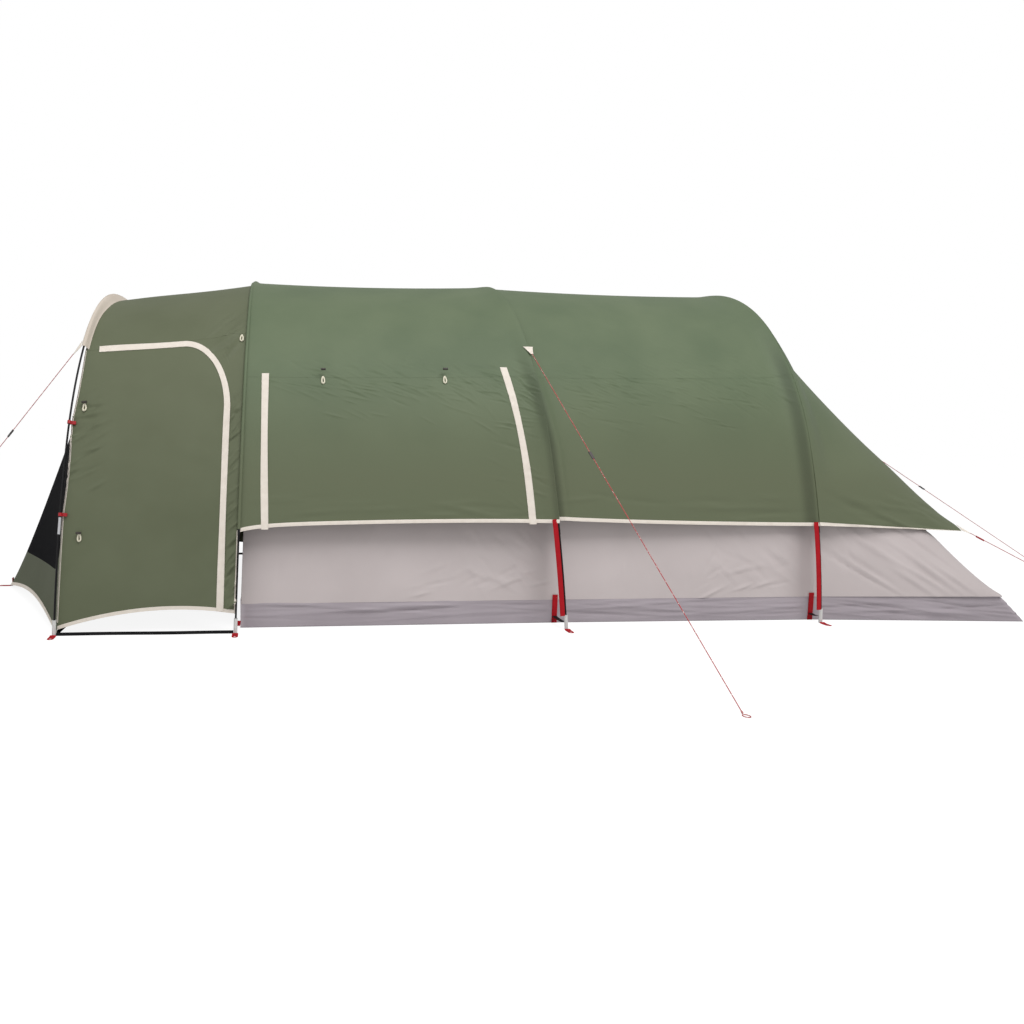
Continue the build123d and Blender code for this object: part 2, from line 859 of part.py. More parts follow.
def tub_half_width(x):
    """Half of the tub's width at a place along the tent."""
    for (x0, y0), (x1, y1) in zip(tub_outline, tub_outline[1:]):
        if x <= x1:
            return y0 + (y1 - y0) * (x - x0) / (x1 - x0)
    return tub_outline[-1][1]


# Red tabs on the tub's wall, beside the feet of the middle and rear hoops
with BuildPart() as floor_tabs:
    for hoop in (middle_hoop, rear_hoop):
        tab_end = hoop.station + floor_tab_past
        tab_start = tab_end - floor_tab_width
        for side in sides:
            first = Vector(tab_start, side * (tub_half_width(tab_start) + seat), 0)
            last = Vector(tab_end, side * (tub_half_width(tab_end) + seat), 0)
            tab_plane = Plane(origin=first, x_dir=last - first, z_dir=(0, 0, 1))
            with BuildSketch(tab_plane):
                edge = Align.MAX if side < 0 else Align.MIN
                Rectangle((last - first).length, trim, align=(Align.MIN, edge))
            extrude(amount=floor_tab_height)
save(floor_tabs.part, "floor_tabs")


# Short straps from the tub to the pole tips, red at the front hoop and black at the others
def foot_strap(hoop, middle_x, gap, start, side):
    """A strap across the gap to a pole tip, from a start that is measured from the tub's wall."""
    ends = (middle_x - strap_width / 2, middle_x + strap_width / 2)
    inside = max(hoop.half_width - gap, *[tub_half_width(x) for x in ends]) + start
    outside = hoop.half_width - tip_radius - seat
    with Locations((middle_x, side * (inside + outside) / 2, tip_length / 2)):
        Box(strap_width, outside - inside, trim)


with BuildPart() as front_foot_straps:
    for side in sides:
        foot_strap(front_hoop, front_hoop.station + inner_front_setback / 2, front_inner_gap, seat, side)
save(front_foot_straps.part, "front_foot_straps")
with BuildPart() as side_foot_straps:
    for hoop, gap in ((middle_hoop, middle_inner_gap), (rear_hoop, rear_inner_gap)):
        tab_middle = hoop.station + floor_tab_past - floor_tab_width / 2
        for side in sides:
            foot_strap(hoop, tab_middle, gap, 2 * seat + trim, side)
save(side_foot_straps.part, "side_foot_straps")


# Peg loops, webbing tabs with a round hole for a peg
def peg_loop(x, y, angle, length):
    """A tab flat on the ground that starts at a point and reaches out at an angle from +X."""
    out = (math.cos(angle), math.sin(angle), 0)
    half = peg_loop_width / 2
    with BuildSketch(Plane(origin=(x, y, 0), x_dir=out, z_dir=(0, 0, 1))) as tab:
        with Locations(((length - half) / 2, 0)):
            Rectangle(length - half, peg_loop_width)
        with Locations((length - half, 0)):
            Circle(half)
            Circle(peg_hole_radius, mode=Mode.SUBTRACT)
    extrude(tab.sketch, amount=trim)


with BuildPart() as peg_loops:
    for hoop in hoops:
        for side in sides:
            loop_start = side * (hoop.half_width + tip_radius + seat)
            peg_loop(hoop.station, loop_start, side * level, peg_loop_length)
    # The front loop turns up to the hem at the ridge of the bow.
    ridge_x = bow_section(porch_hoop.slope_at(bow_hem_height))[2] - seat
    peg_loop(ridge_x, 0, math.pi, peg_loop_length + ridge_x - bow_station)
    with Locations((ridge_x - trim / 2, 0, bow_hem_height / 2 + trim)):
        Box(trim, peg_loop_width, bow_hem_height + 2 * trim)
save(peg_loops.part, "peg_loops")

# Ground straps of the porch: one along each side on its edge, and one across, flat
with BuildPart() as side_straps:
    for side in sides:
        first = Vector(porch_station, side * porch_half_width, 0)
        last = Vector(front_station, side * front_half_width, 0)
        along = (last - first).normalized()
        # A tip that leans over the strap moves the strap's end away from it.
        front_gap = tip_radius + seat + max(0.0, porch_lean) * strap_width / porch_height
        rear_gap = tip_radius + seat + max(0.0, -front_lean) * strap_width / front_height
        strap_plane = Plane(origin=first + along * front_gap, x_dir=(0, 0, 1), z_dir=along)
        with BuildSketch(strap_plane):
            Rectangle(strap_width, trim, align=(Align.MIN, Align.CENTER))
        extrude(amount=(last - first).length - front_gap - rear_gap)
save(side_straps.part, "porch_side_straps")
with BuildPart() as cross_strap:
    with Locations((porch_station, 0, trim / 2)):
        Box(strap_width, 2 * (porch_half_width - tip_radius - seat), trim)
save(cross_strap.part, "porch_cross_strap")

# Clips that hold the porch cloth to its pole: a ring and a tongue that reaches the cloth's edge
with BuildPart() as clips:
    for height in clip_heights:
        for side in sides:
            ring = porch_hoop.pole_plane(porch_hoop.slope_at(height), side)
            with BuildSketch(ring.offset(-clip_length / 2)):
                Circle(clip_outer_radius)
                tongue_across = side * (porch_outer + porch_inner) / 2
                with Locations((porch_edge_setback / 2, tongue_across)):
                    Rectangle(porch_edge_setback - 2 * seat, 2 * pole_radius)
                Circle(pole_radius + seat, mode=Mode.SUBTRACT)
            extrude(amount=clip_length)
save(clips.part, "porch_clips")


# Toggles that hold the doors and the covers when they are rolled up
def toggle(start, end, share, slope, side):
    """A barrel that lies on the cloth between two points, along the line between them."""
    along = (end - start).normalized()
    outwards = Vector(0, side * math.cos(slope), math.sin(slope))
    middle = start + (end - start) * share + outwards * (toggle_radius + seat)
    foot = middle - along * (toggle_length / 2)
    with BuildSketch(Plane(origin=foot, x_dir=outwards, z_dir=along)) as section:
        Circle(toggle_radius)
    extrude(section.sketch, amount=toggle_length)


with BuildPart() as toggles:
    for side in sides:
        for height in door_toggle_heights:
            slope = porch_hoop.slope_at(height)
            first = porch_hoop.place(slope, porch_outer, side, porch_edge_setback)
            last = front_hoop.place(slope, porch_rear_outer, side)
            reach = (front_station - door_front - 0.6 * toggle_length - first.X) / (last.X - first.X)
            toggle(first, last, reach, slope, side)
        for place in cover_toggle_places:
            rise = cover_toggle_rise / front_hoop.shoulder
            first = front_hoop.place(front_seam_slope + rise, fly_outer, side)
            last = middle_hoop.place(middle_seam_slope + rise, fly_outer, side)
            reach = (front_station + place - first.X) / (last.X - first.X)
            toggle(first, last, reach, middle_seam_slope + rise, side)
save(toggles.part, "tie_toggles")


class Guy:
    """A guy line: a sewn tab, a straight cord from the tab to its peg and a slider on the cord."""

    def __init__(self, base, edge, peg, slider_share, width=guy_tab_width):
        self.base = base
        self.width = width
        self.edge = edge.normalized()
        self.out = (peg - base).normalized()
        self.tip = base + self.out * guy_tab_length
        lean = abs(self.out.dot(self.edge))
        self.start = self.tip + self.out * (seat + guy_radius * lean / math.sqrt(1 - lean * lean))
        self.peg = peg
        self.slider = self.start + (peg - self.start) * slider_share

    def add_tab(self):
        """Adds the tab: wide where it is sewn on, narrow where the cord starts."""
        flat = Plane(origin=self.base, x_dir=self.edge, z_dir=self.edge.cross(self.out))
        along, across = self.out.dot(flat.x_dir), self.out.dot(flat.y_dir)
        tip_x, tip_y = along * guy_tab_length, across * guy_tab_length
        wide, narrow = self.width / 2, guy_tab_width / 8
        with BuildSketch(flat) as outline:
            with BuildLine():
                Polyline(
                    (-wide, 0), (wide, 0), (tip_x + narrow, tip_y), (tip_x - narrow, tip_y), close=True
                )
            make_face()
        extrude(outline.sketch, amount=trim / 2, both=True)


middle_slope = middle_hoop.slope_at(middle_guy_height)
porch_slope = porch_hoop.slope_at(porch_guy_height)
guy_end_height = 2 * guy_loop_wire
tab_lift = seat + trim / 2
rear_top = rear_hoop.place(level, fly_outer, 1, fly_outer)
rear_low = Vector(rear_edge.station, 0, rear_fly_corner_height + rear_fly_rise + cloth)
rear_share = (rear_top.Z - rear_guy_height) / (rear_top.Z - rear_low.Z)
rear_slope_way = (rear_low - rear_top).normalized()
rear_normal = Vector(-rear_slope_way.Z, 0, rear_slope_way.X)

middle_guy = Guy(
    middle_hoop.place(middle_slope, fly_outer + tab_lift, -1),
    Vector(1, 0, 0),
    Vector(
        middle_station + middle_guy_peg[0], -middle_half_width - middle_guy_peg[1], guy_end_height
    ),
    middle_slider_share,
)
porch_guy = Guy(
    porch_hoop.place(porch_slope, pole_radius + seat + cloth / 2, -1, -visor_front - tab_lift),
    porch_hoop.pole_plane(porch_slope, -1).z_dir,
    Vector(porch_station - porch_guy_peg[0], -porch_half_width + porch_guy_peg[1], guy_end_height),
    porch_slider_share,
)
corner_first = Vector(*rear_edge.point(rear_hem_slope, cloth / 2, -1))
corner_last = Vector(*rear_edge.point(rear_hem_slope + corner_tab_turn, cloth / 2, -1))
corner_plane = rear_edge.plane(2 * seat)
corner_guy = Guy(
    corner_plane.from_local_coords((corner_first + corner_last) * 0.5),
    corner_plane.from_local_coords(corner_last) - corner_plane.from_local_coords(corner_first),
    Vector(
        rear_edge.station + corner_guy_peg[0],
        -rear_fly_half_width - corner_guy_peg[1],
        guy_end_height,
    ),
    corner_slider_share,
    (corner_last - corner_first).length,
)
centre_guy = Guy(
    rear_top + (rear_low - rear_top) * rear_share + rear_normal * tab_lift,
    Vector(0, 1, 0),
    Vector(rear_edge.station + centre_guy_reach, 0, guy_end_height),
    centre_slider_share,
)
guys = (
    (porch_guy, "porch_guy"),
    (middle_guy, "middle_guy"),
    (corner_guy, "rear_corner_guy"),
    (centre_guy, "rear_centre_guy"),
)

# Guy tabs on both sides, and one in the middle of the rear
with BuildPart() as left_tabs:
    porch_guy.add_tab()
    middle_guy.add_tab()
    corner_guy.add_tab()
with BuildPart() as guy_tabs:
    add(left_tabs.part)
    mirror(left_tabs.part, about=Plane.XZ)
    centre_guy.add_tab()
save(guy_tabs.part, "guy_tabs")

# Guy cords and their sliders
for guy, name in guys:
    with BuildPart() as cord:
        with BuildSketch(Plane(origin=guy.start, x_dir=guy.edge, z_dir=guy.out)):
            Circle(guy_radius)
        extrude(amount=(guy.peg - guy.start).length)
    save(cord.part, name)
    slider_foot = guy.slider - guy.out * (slider_length / 2)
    with BuildPart() as slider:
        with BuildSketch(Plane(origin=slider_foot, x_dir=guy.edge, z_dir=guy.out)):
            RectangleRounded(slider_width, slider_thickness, slider_thickness / 3)
            Circle(slider_bore_radius, mode=Mode.SUBTRACT)
        extrude(amount=slider_length)
    save(slider.part, f"{name}_slider")

# Loops at the ground ends of the guys
with BuildPart() as end_loops:
    for guy, name in guys:
        level_way = Vector(guy.out.X, guy.out.Y, 0).normalized()
        centre = guy.peg + level_way * (guy_loop_radius + 0.8 * guy_loop_wire)
        with Locations((centre.X, centre.Y, guy_loop_wire)):
            Torus(guy_loop_radius, guy_loop_wire)
save(end_loops.part, "guy_end_loops")
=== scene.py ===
"""Looks of a tunnel tent on bent poles: its cloth, tape, webbing, cords, fittings and a plain studio.

Lengths are metres in the frame's axes: the porch points to -X, the sleeping end to +X, Y is across
and +Z is up. Left is -Y.
"""

import logging
import math
from dataclasses import dataclass
from enum import Enum
from typing import Callable, Optional, Sequence, Union

import bpy
import numpy as np
from mathutils import Matrix


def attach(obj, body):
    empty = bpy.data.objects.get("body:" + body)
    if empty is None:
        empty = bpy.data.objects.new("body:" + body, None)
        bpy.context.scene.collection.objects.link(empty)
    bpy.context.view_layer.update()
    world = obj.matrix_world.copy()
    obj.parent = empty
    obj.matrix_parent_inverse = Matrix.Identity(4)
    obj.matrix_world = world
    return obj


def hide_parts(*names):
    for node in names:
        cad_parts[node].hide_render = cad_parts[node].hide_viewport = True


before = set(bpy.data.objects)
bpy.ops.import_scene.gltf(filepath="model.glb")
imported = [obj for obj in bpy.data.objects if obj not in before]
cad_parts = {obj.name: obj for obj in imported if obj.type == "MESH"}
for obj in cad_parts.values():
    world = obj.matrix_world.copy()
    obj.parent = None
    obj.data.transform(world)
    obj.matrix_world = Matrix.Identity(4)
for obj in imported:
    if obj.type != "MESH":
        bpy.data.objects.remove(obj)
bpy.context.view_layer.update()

log = logging.getLogger("tent")
Array = np.ndarray
Number = Union[float, Array]
Line = Callable[[Number], Number]
Pair = tuple[float, float]
Triple = tuple[float, float, float]
Steps = tuple[float, float, int]  # first value, last value and count
Tree = bpy.types.NodeTree
Socket = bpy.types.NodeSocket
Reliefs = list[tuple[Socket, float, float]]  # height, strength and depth of each

LEVEL = math.pi / 2
LEG_TOP = math.radians(14.5)  # slope from upright where a pole's leg arc ends
SHOULDER_TOP = math.radians(42.0)  # slope where its shoulder arc ends
LEG_TO_SHOULDER = 2.62  # radius of the leg arc over that of the shoulder arc

FLY_OUT = 0.0117  # outer face of the fly from the middle of a pole
CLOTH = 0.0012  # thickness of a cloth panel as it looks
TAPE = 0.0016  # thickness of sewn tape and webbing
TAPE_LIFT = 0.0018  # outer face of tape above the cloth that carries it
LAP_LIFT = 0.0006  # how far a roof stands off the wall that it laps over
SEAM_LAP = 0.011  # slope by which a roof laps over a wall
CROWD = 1.6  # how much closer a roof's steps are towards the walls
HEM_TAPE = 0.016  # width of hem tape
FLAP = 0.034  # width of a storm flap
STRAP = 0.025  # width of webbing
TIP_RADIUS = 0.009
TIP_LENGTH = 0.075
SEAT = 0.0003
IOR = 1.5  # of every finish


class Side(Enum):
    """A side of the tent, with the sign of its Y."""

    LEFT = -1.0
    RIGHT = 1.0

    @property
    def word(self) -> str:
        """The side as it stands in names."""
        return self.name.lower()


class Slot(Enum):
    """The record's material slots."""

    GREEN = "green_cloth"
    BEIGE = "beige_trim"
    INNER = "inner_cloth"
    FLOOR = "floor_cloth"
    NET = "black_mesh"
    RED_WEB = "red_webbing"
    BLACK_WEB = "black_webbing"
    CORD = "guy_cord"
    POLE = "pole"
    FERRULE = "ferrule"
    PALE = "pale_plastic"
    RED = "red_plastic"
    SLIDER = "slider_plastic"


# Finishes


def linear(colour: str) -> tuple[float, float, float, float]:
    """An sRGB hex colour as linear red, green, blue and alpha."""
    parts = np.array([int(colour[i : i + 2], 16) for i in (1, 3, 5)]) / 255
    flat = np.where(parts <= 0.04045, parts / 12.92, ((parts + 0.055) / 1.055) ** 2.4)
    return (*flat.tolist(), 1.0)


def clear_tree(owner: Union[bpy.types.Material, bpy.types.World]) -> Tree:
    """The emptied node tree of a material or world."""
    owner.use_nodes = True
    owner.node_tree.nodes.clear()
    return owner.node_tree


def add_node(
    tree: Tree,
    kind: str,
    inputs: Optional[dict] = None,
    out: Union[int, str] = 0,
    stops: Sequence[tuple[float, str]] = (),
    **settings: str,
) -> Optional[Socket]:
    """Adds a shader node, and sets or links its inputs.

    Args:
        tree: the node tree of a material or world.
        kind: Blender's name of the node, after "ShaderNode".
        inputs: value or linked socket for each input, by name or number.
        out: name or number of the output that is wanted.
        stops: places and hex colours of a colour ramp.
        settings: values of the node's own properties.

    Returns:
        The wanted output, if the node has any.
    """
    made = tree.nodes.new(f"ShaderNode{kind}")
    for key, value in settings.items():
        setattr(made, key, value)
    for key, value in (inputs or {}).items():
        if isinstance(value, Socket):
            tree.links.new(value, made.inputs[key])
        else:
            made.inputs[key].default_value = value
    for number, (place, colour) in enumerate(stops):
        made.color_ramp.elements[number].position = place
        made.color_ramp.elements[number].color = linear(colour)
    return made.outputs[out] if made.outputs else None


def band_scale(period: float) -> float:
    """The Wave texture's scale for bands that repeat after a period in metres."""
    return 0.1 * math.pi / period


@dataclass(frozen=True)
class Finish:
    """A named material: a Principled shader with colours, gloss and relief from its own nodes."""

    name: str
    slot: Slot
    colour: str
    second: str
    roughness: float
    specular: float = 0.5
    metallic: float = 0.0

    def material(self) -> bpy.types.Material:
        """The material, made on first use."""
        known = bpy.data.materials.get(self.name)
        if known is not None:
            return known
        made = bpy.data.materials.new(self.name)
        tree = clear_tree(made)
        colour, reliefs = self.dress(tree)
        looks = {"Base Color": colour, "Roughness": self.roughness, "Metallic": self.metallic}
        under = {}
        for height, strength, depth in reliefs:
            bump = {"Height": height, "Strength": strength, "Distance": depth, **under}
            under = {"Normal": add_node(tree, "Bump", bump)}
        gloss = {"IOR": IOR, "Specular IOR Level": self.specular}
        shader = add_node(tree, "BsdfPrincipled", {**looks, **gloss, **under})
        add_node(tree, "OutputMaterial", {"Surface": shader})
        return made

    def dress(self, tree: Tree) -> tuple[Socket, Reliefs]:
        """The shader's colour and its reliefs, the finest first; each kind of finish has its own."""
        raise NotImplementedError

    def mottle(self, tree: Tree, where: Socket, size: float, contrast: float) -> Socket:
        """Colour that wanders between the two colours in soft patches.

        Args:
            tree: the material's nodes.
            where: the coordinates.
            size: size of a patch in metres.
            contrast: how sharply the patches part, from 0 to 1.

        Returns:
            The colour.
        """
        noise = add_node(tree, "TexNoise", {"Vector": where, "Scale": 1 / size, "Detail": 3.0})
        low = 0.5 - 0.45 * contrast
        return add_node(tree, "ValToRGB", {"Fac": noise}, stops=((low, self.colour), (1 - low, self.second)))

    def weave(self, tree: Tree, period: float, operation: str) -> Socket:
        """Height of threads that run both ways over the cloth's own map, joined by a maths operation."""
        bands = {"Vector": add_node(tree, "UVMap", uv_map="cloth"), "Scale": band_scale(period)}
        ways = [add_node(tree, "TexWave", bands, "Fac", bands_direction=way) for way in ("X", "Y")]
        return add_node(tree, "Math", {0: ways[0], 1: ways[1]}, operation=operation)


@dataclass(frozen=True)
class CoatedCloth(Finish):
    """Coated polyester taffeta: a plain weave under a thin satin coat, with soft puckers.

    The threads are a quarter of a millimetre apart, too fine to show, so they are drawn at `thread`.
    """

    thread: float = 0.0024
    pucker: float = 0.0010
    pucker_size: float = 0.055
    low: Optional[str] = None  # colour low down, where it differs
    fade: Pair = (0.75, 1.30)  # heights between which that colour gives way

    def dress(self, tree: Tree) -> tuple[Socket, Reliefs]:
        """Colour in soft patches, darkened towards black by painted shade where a sleeve lies behind or a
        wall folds; a weave and shallow puckers.
        """
        where = add_node(tree, "TexCoord", out="Object")
        colour = self.mottle(tree, where, 0.35, 0.35)
        if self.low is not None:
            height = add_node(tree, "SeparateXYZ", {0: where}, out=2)
            part = add_node(tree, "MapRange", {0: height, 1: self.fade[0], 2: self.fade[1]})
            mix = {"Factor": part, 6: linear(self.low), 7: colour}
            colour = add_node(tree, "Mix", mix, 2, data_type="RGBA")
        # painted shade: the points' shade values darken the colour towards black
        shade = add_node(tree, "Attribute", out="Fac", attribute_name="shade")
        mix = {"Factor": shade, 6: colour, 7: linear("#000000")}
        noise = {"Vector": where, "Scale": 1 / self.pucker_size, "Detail": 2.0, "Distortion": 0.6}
        soft = (add_node(tree, "TexNoise", noise), 0.5, self.pucker)
        fine = (self.weave(tree, self.thread, "MULTIPLY"), 0.25, 0.0002)
        return add_node(tree, "Mix", mix, 2, data_type="RGBA"), [fine, soft]


@dataclass(frozen=True)
class WovenTape(Finish):
    """Woven tape or webbing: fine ribs across its length and a row of stitches near each edge."""

    width: float = STRAP
    rib: float = 0.0030
    stitch: str = "#d9d2c6"
    inset: float = 0.003  # of the stitches from an edge
    thread: float = 0.0006  # half of a stitch's thickness
    dash: Pair = (0.0010, 0.0030)  # halves of the gap between stitches and of their period

    def dress(self, tree: Tree) -> tuple[Socket, Reliefs]:
        """Ribs follow the tape's own map, u along it and v across it from its middle."""
        where = add_node(tree, "TexCoord", out="Object")
        cloth = add_node(tree, "UVMap", uv_map="cloth")
        along = add_node(tree, "SeparateXYZ", {0: cloth})
        bands = {"Vector": cloth, "Scale": band_scale(self.rib), "Distortion": 0.4}
        ribs = add_node(tree, "TexWave", bands, "Fac", bands_direction="X")
        off = add_node(tree, "Math", {0: along.node.outputs[1]}, operation="ABSOLUTE")
        line = {0: off, 1: self.width / 2 - self.inset, 2: self.thread}
        row = add_node(tree, "Math", line, operation="COMPARE")
        place = add_node(tree, "Math", {0: along, 1: self.dash[1]}, operation="PINGPONG")
        shown = add_node(tree, "Math", {0: place, 1: self.dash[0]}, operation="GREATER_THAN")
        thread = add_node(tree, "Math", {0: row, 1: shown}, operation="MULTIPLY")
        mix = {"Factor": thread, 6: self.mottle(tree, where, 0.03, 0.5), 7: linear(self.stitch)}
        return add_node(tree, "Mix", mix, 2, data_type="RGBA"), [(ribs, 0.5, 0.0003)]


@dataclass(frozen=True)
class FineNet(Finish):
    """Knitted insect net: black yarn round small gaps, drawn coarser than it is so that it shows."""

    gap: float = 0.005

    def dress(self, tree: Tree) -> tuple[Socket, Reliefs]:
        """Yarn lines of a lighter black on the darker black of the gaps, in both directions; the gaps' black
        is painted shade of the inside seen through them.
        """
        yarn = self.weave(tree, self.gap, "MAXIMUM")
        stops = ((0.55, self.colour), (0.95, self.second))
        return add_node(tree, "ValToRGB", {"Fac": yarn}, stops=stops), [(yarn, 0.4, 0.0005)]


@dataclass(frozen=True)
class Moulded(Finish):
    """Moulded plastic, pultruded rod or elastic cord: an even skin with a fine grain."""

    grain: float = 0.0012
    depth: float = 0.00005

    def dress(self, tree: Tree) -> tuple[Socket, Reliefs]:
        """Nearly even colour, and a grain that breaks the gloss."""
        where = add_node(tree, "TexCoord", out="Object")
        grain = add_node(tree, "TexNoise", {"Vector": where, "Scale": 1 / self.grain, "Detail": 2.0})
        return self.mottle(tree, where, 0.02, 0.6), [(grain, 0.4, self.depth)]


@dataclass(frozen=True)
class JointTube(Finish):
    """The tubes that join pole sections: pale on the porch pole, black on the poles behind it."""

    pale_until: float = -1.8  # place along the tent
    behind: str = "#131316"

    def dress(self, tree: Tree) -> tuple[Socket, Reliefs]:
        """Pale or black by the place along the tent."""
        where = add_node(tree, "TexCoord", out="Object")
        place = add_node(tree, "SeparateXYZ", {0: where})
        past = add_node(tree, "Math", {0: place, 1: self.pale_until}, operation="GREATER_THAN")
        mix = {"Factor": past, 6: self.mottle(tree, where, 0.02, 0.6), 7: linear(self.behind)}
        return add_node(tree, "Mix", mix, 2, data_type="RGBA"), []


@dataclass(frozen=True)
class BraidedCord(Finish):
    """Braided cord: a body colour with pale flecks, and strands that break the surface."""

    fleck: float = 0.007

    def dress(self, tree: Tree) -> tuple[Socket, Reliefs]:
        """Flecks where a cell pattern is near its cell's middle, and a strand relief."""
        cells = {"Vector": add_node(tree, "TexCoord", out="Object"), "Scale": 1 / self.fleck}
        off = add_node(tree, "TexVoronoi", cells, "Distance")
        stops = ((0.22, self.second), (0.34, self.colour))
        return add_node(tree, "ValToRGB", {"Fac": off}, stops=stops), [(off, 0.4, 0.0004)]


FLY_CLOTH = CoatedCloth("coated_polyester_green", Slot.GREEN, "#68755b", "#606e55", 0.55, 0.2, low="#676e56")
PORCH_CLOTH = CoatedCloth("coated_polyester_olive", Slot.GREEN, "#676d56", "#626851", 0.58, 0.2)
# a darker copy of the porch's green cloth on the bow's skirt and top: painted shade
SHADED_SKIRT_CLOTH = CoatedCloth("coated_polyester_painted_shade", Slot.GREEN, "#5a5f4b", "#555a46", 0.6, 0.15)
TRIM_TAPE = WovenTape("woven_tape_beige", Slot.BEIGE, "#efe6db", "#e8ded2", 0.8, 0.2, width=HEM_TAPE)
FLAP_CLOTH = WovenTape(
    "woven_flap_beige", Slot.BEIGE, "#eee5da", "#e6dcd0", 0.75, 0.2, width=FLAP, rib=0.0024
)
VISOR_CLOTH = CoatedCloth("coated_polyester_beige", Slot.BEIGE, "#d3c8bb", "#cabeb0", 0.7, 0.2, thread=0.003)
INNER_CLOTH = CoatedCloth("breathable_polyester_beige", Slot.INNER, "#cac0bf", "#c4bab9", 0.5, 0.3)
FLOOR_CLOTH = CoatedCloth(
    "coated_floor_cloth_grey", Slot.FLOOR, "#aca3a9", "#a49ba1", 0.45, 0.3, thread=0.003
)
# the first colour, in the gaps, is painted shade of the inside seen through them
NET = FineNet("insect_net_black", Slot.NET, "#08080a", "#17171a", 0.9, 0.05)
RED_WEB = WovenTape("webbing_red", Slot.RED_WEB, "#b3121f", "#a50f1b", 0.7, 0.2, stitch="#8e0d17")
BLACK_WEB = WovenTape("webbing_black", Slot.BLACK_WEB, "#101012", "#161618", 0.7, 0.2, stitch="#222226")
GUY_CORD = BraidedCord("braided_cord_red", Slot.CORD, "#b8484a", "#e9d9d2", 0.7)
ROD = Moulded("glass_fibre_rod_black", Slot.POLE, "#0d0d0f", "#131316", 0.45, 0.25)
TUBE = JointTube("satin_tube_pale", Slot.FERRULE, "#cfcfd2", "#c4c4c8", 0.4, metallic=0.3)
PALE_PLASTIC = Moulded("moulded_plastic_pale", Slot.PALE, "#dcdcda", "#d2d2d0", 0.45)
TOGGLE_PLASTIC = Moulded("moulded_plastic_brown", Slot.PALE, "#3a352e", "#332e28", 0.4)
RED_PLASTIC = Moulded("moulded_plastic_red", Slot.RED, "#b01722", "#a3131d", 0.4)
SLIDER_PLASTIC = Moulded("moulded_plastic_grey", Slot.SLIDER, "#4a4443", "#413c3b", 0.45)
SLIDER_RED = Moulded("moulded_plastic_crimson", Slot.SLIDER, "#b32630", "#a61f29", 0.45)
ELASTIC = Moulded("elastic_cord_cream", Slot.PALE, "#ebe6d2", "#e0dac4", 0.7, 0.2)


# Meshes


def unit(vectors: Array) -> Array:
    """Vectors of length one."""
    return vectors / np.linalg.norm(vectors, axis=-1, keepdims=True)


def blend(first: Number, last: Number, share: Number) -> Number:
    """A share of the way from a first value to a last one."""
    return first + (last - first) * share


def bell(off: Number, reach: float, power: float = 2) -> Number:
    """1 in the middle, falling to nothing past its reach. A higher power flattens it."""
    return np.exp(-((off / reach) ** power))


def join(x: Number, y: Number, z: Number) -> Array:
    """Points from their parts, of which some may be single numbers."""
    return np.stack(np.broadcast_arrays(x, y, z), axis=-1)


def lattice(along: Steps, down: Steps) -> Sequence[Array]:
    """Two values at the points of a grid: one steps along its rows, the other down its columns."""
    return np.meshgrid(np.linspace(*along), np.linspace(*down), indexing="xy")


@dataclass
class Grid:
    """A surface as rows and columns of points, with the faces that are kept of it.

    Faces are turned to point along `outside` where that is given. Otherwise those of a round
    tube point away from the middle of their ring, and the others away from the tent's long axis
    at `core` metres above the ground.
    """

    points: Array
    keep: Optional[Array] = None
    wrap: bool = False
    outside: Optional[Triple] = None
    core: float = 0.5
    # painted shade at each point: how far the cloth's colour goes towards black
    shade: Optional[Array] = None

    def corners(self, quads: Array) -> list[Array]:
        """The four corners of faces."""
        return [self.points.reshape(-1, 3)[quads[:, i]] for i in range(4)]

    def quads(self) -> Array:
        """Corner numbers of the kept faces, turned outwards."""
        rows, columns = self.points.shape[:2]
        index = np.arange(rows * columns).reshape(rows, columns)
        if self.wrap:
            index = np.concatenate([index, index[:, :1]], axis=1)
        quads = np.stack((index[:-1, :-1], index[:-1, 1:], index[1:, 1:], index[1:, :-1]), axis=-1)
        quads = quads.reshape(-1, 4) if self.keep is None else quads[self.keep]
        first, second, third, fourth = self.corners(quads)
        normal = np.cross(third - first, fourth - second)
        middle = (first + second + third + fourth) / 4
        if self.outside is not None:
            way = np.array(self.outside, float)
        elif self.wrap:
            way = middle - self.points.mean(axis=1)[quads[:, 0] // columns]
        else:
            way = (middle - (0.0, 0.0, self.core)) * (0.0, 1.0, 1.0)
        turned = float((normal * way).sum()) < 0
        return quads[:, ::-1] if turned else quads

    def area(self) -> float:
        """Area of the kept faces."""
        first, second, third, fourth = self.corners(self.quads())
        return float(np.linalg.norm(np.cross(third - first, fourth - second), axis=-1).sum() / 2)

    def lengths(self) -> tuple[Array, Array]:
        """Distance of each point along its row and along its column."""
        along = np.linalg.norm(np.diff(self.points, axis=1), axis=-1)
        down = np.linalg.norm(np.diff(self.points, axis=0), axis=-1)
        u = np.pad(np.cumsum(along, axis=1), ((0, 0), (1, 0)))
        v = np.pad(np.cumsum(down, axis=0), ((1, 0), (0, 0)))
        return u, v

    def map(self) -> Array:
        """The cloth's own map in metres: u along a row, v down a column from its middle."""
        u, v = self.lengths()
        return np.stack([u, v - v[-1:] / 2], axis=-1)


def link_object(name: str, data: bpy.types.ID) -> bpy.types.Object:
    """Puts a new object into the scene."""
    made = bpy.data.objects.new(name, data)
    bpy.context.scene.collection.objects.link(made)
    return made


def declare(piece: bpy.types.Object, finish: Finish, body: str, nodes: Sequence[str]) -> None:
    """Gives a piece its material, and puts it on a body in place of the frame's nodes."""
    piece.data.materials.append(finish.material())
    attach(piece, body)
    if nodes:
        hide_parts(*nodes)


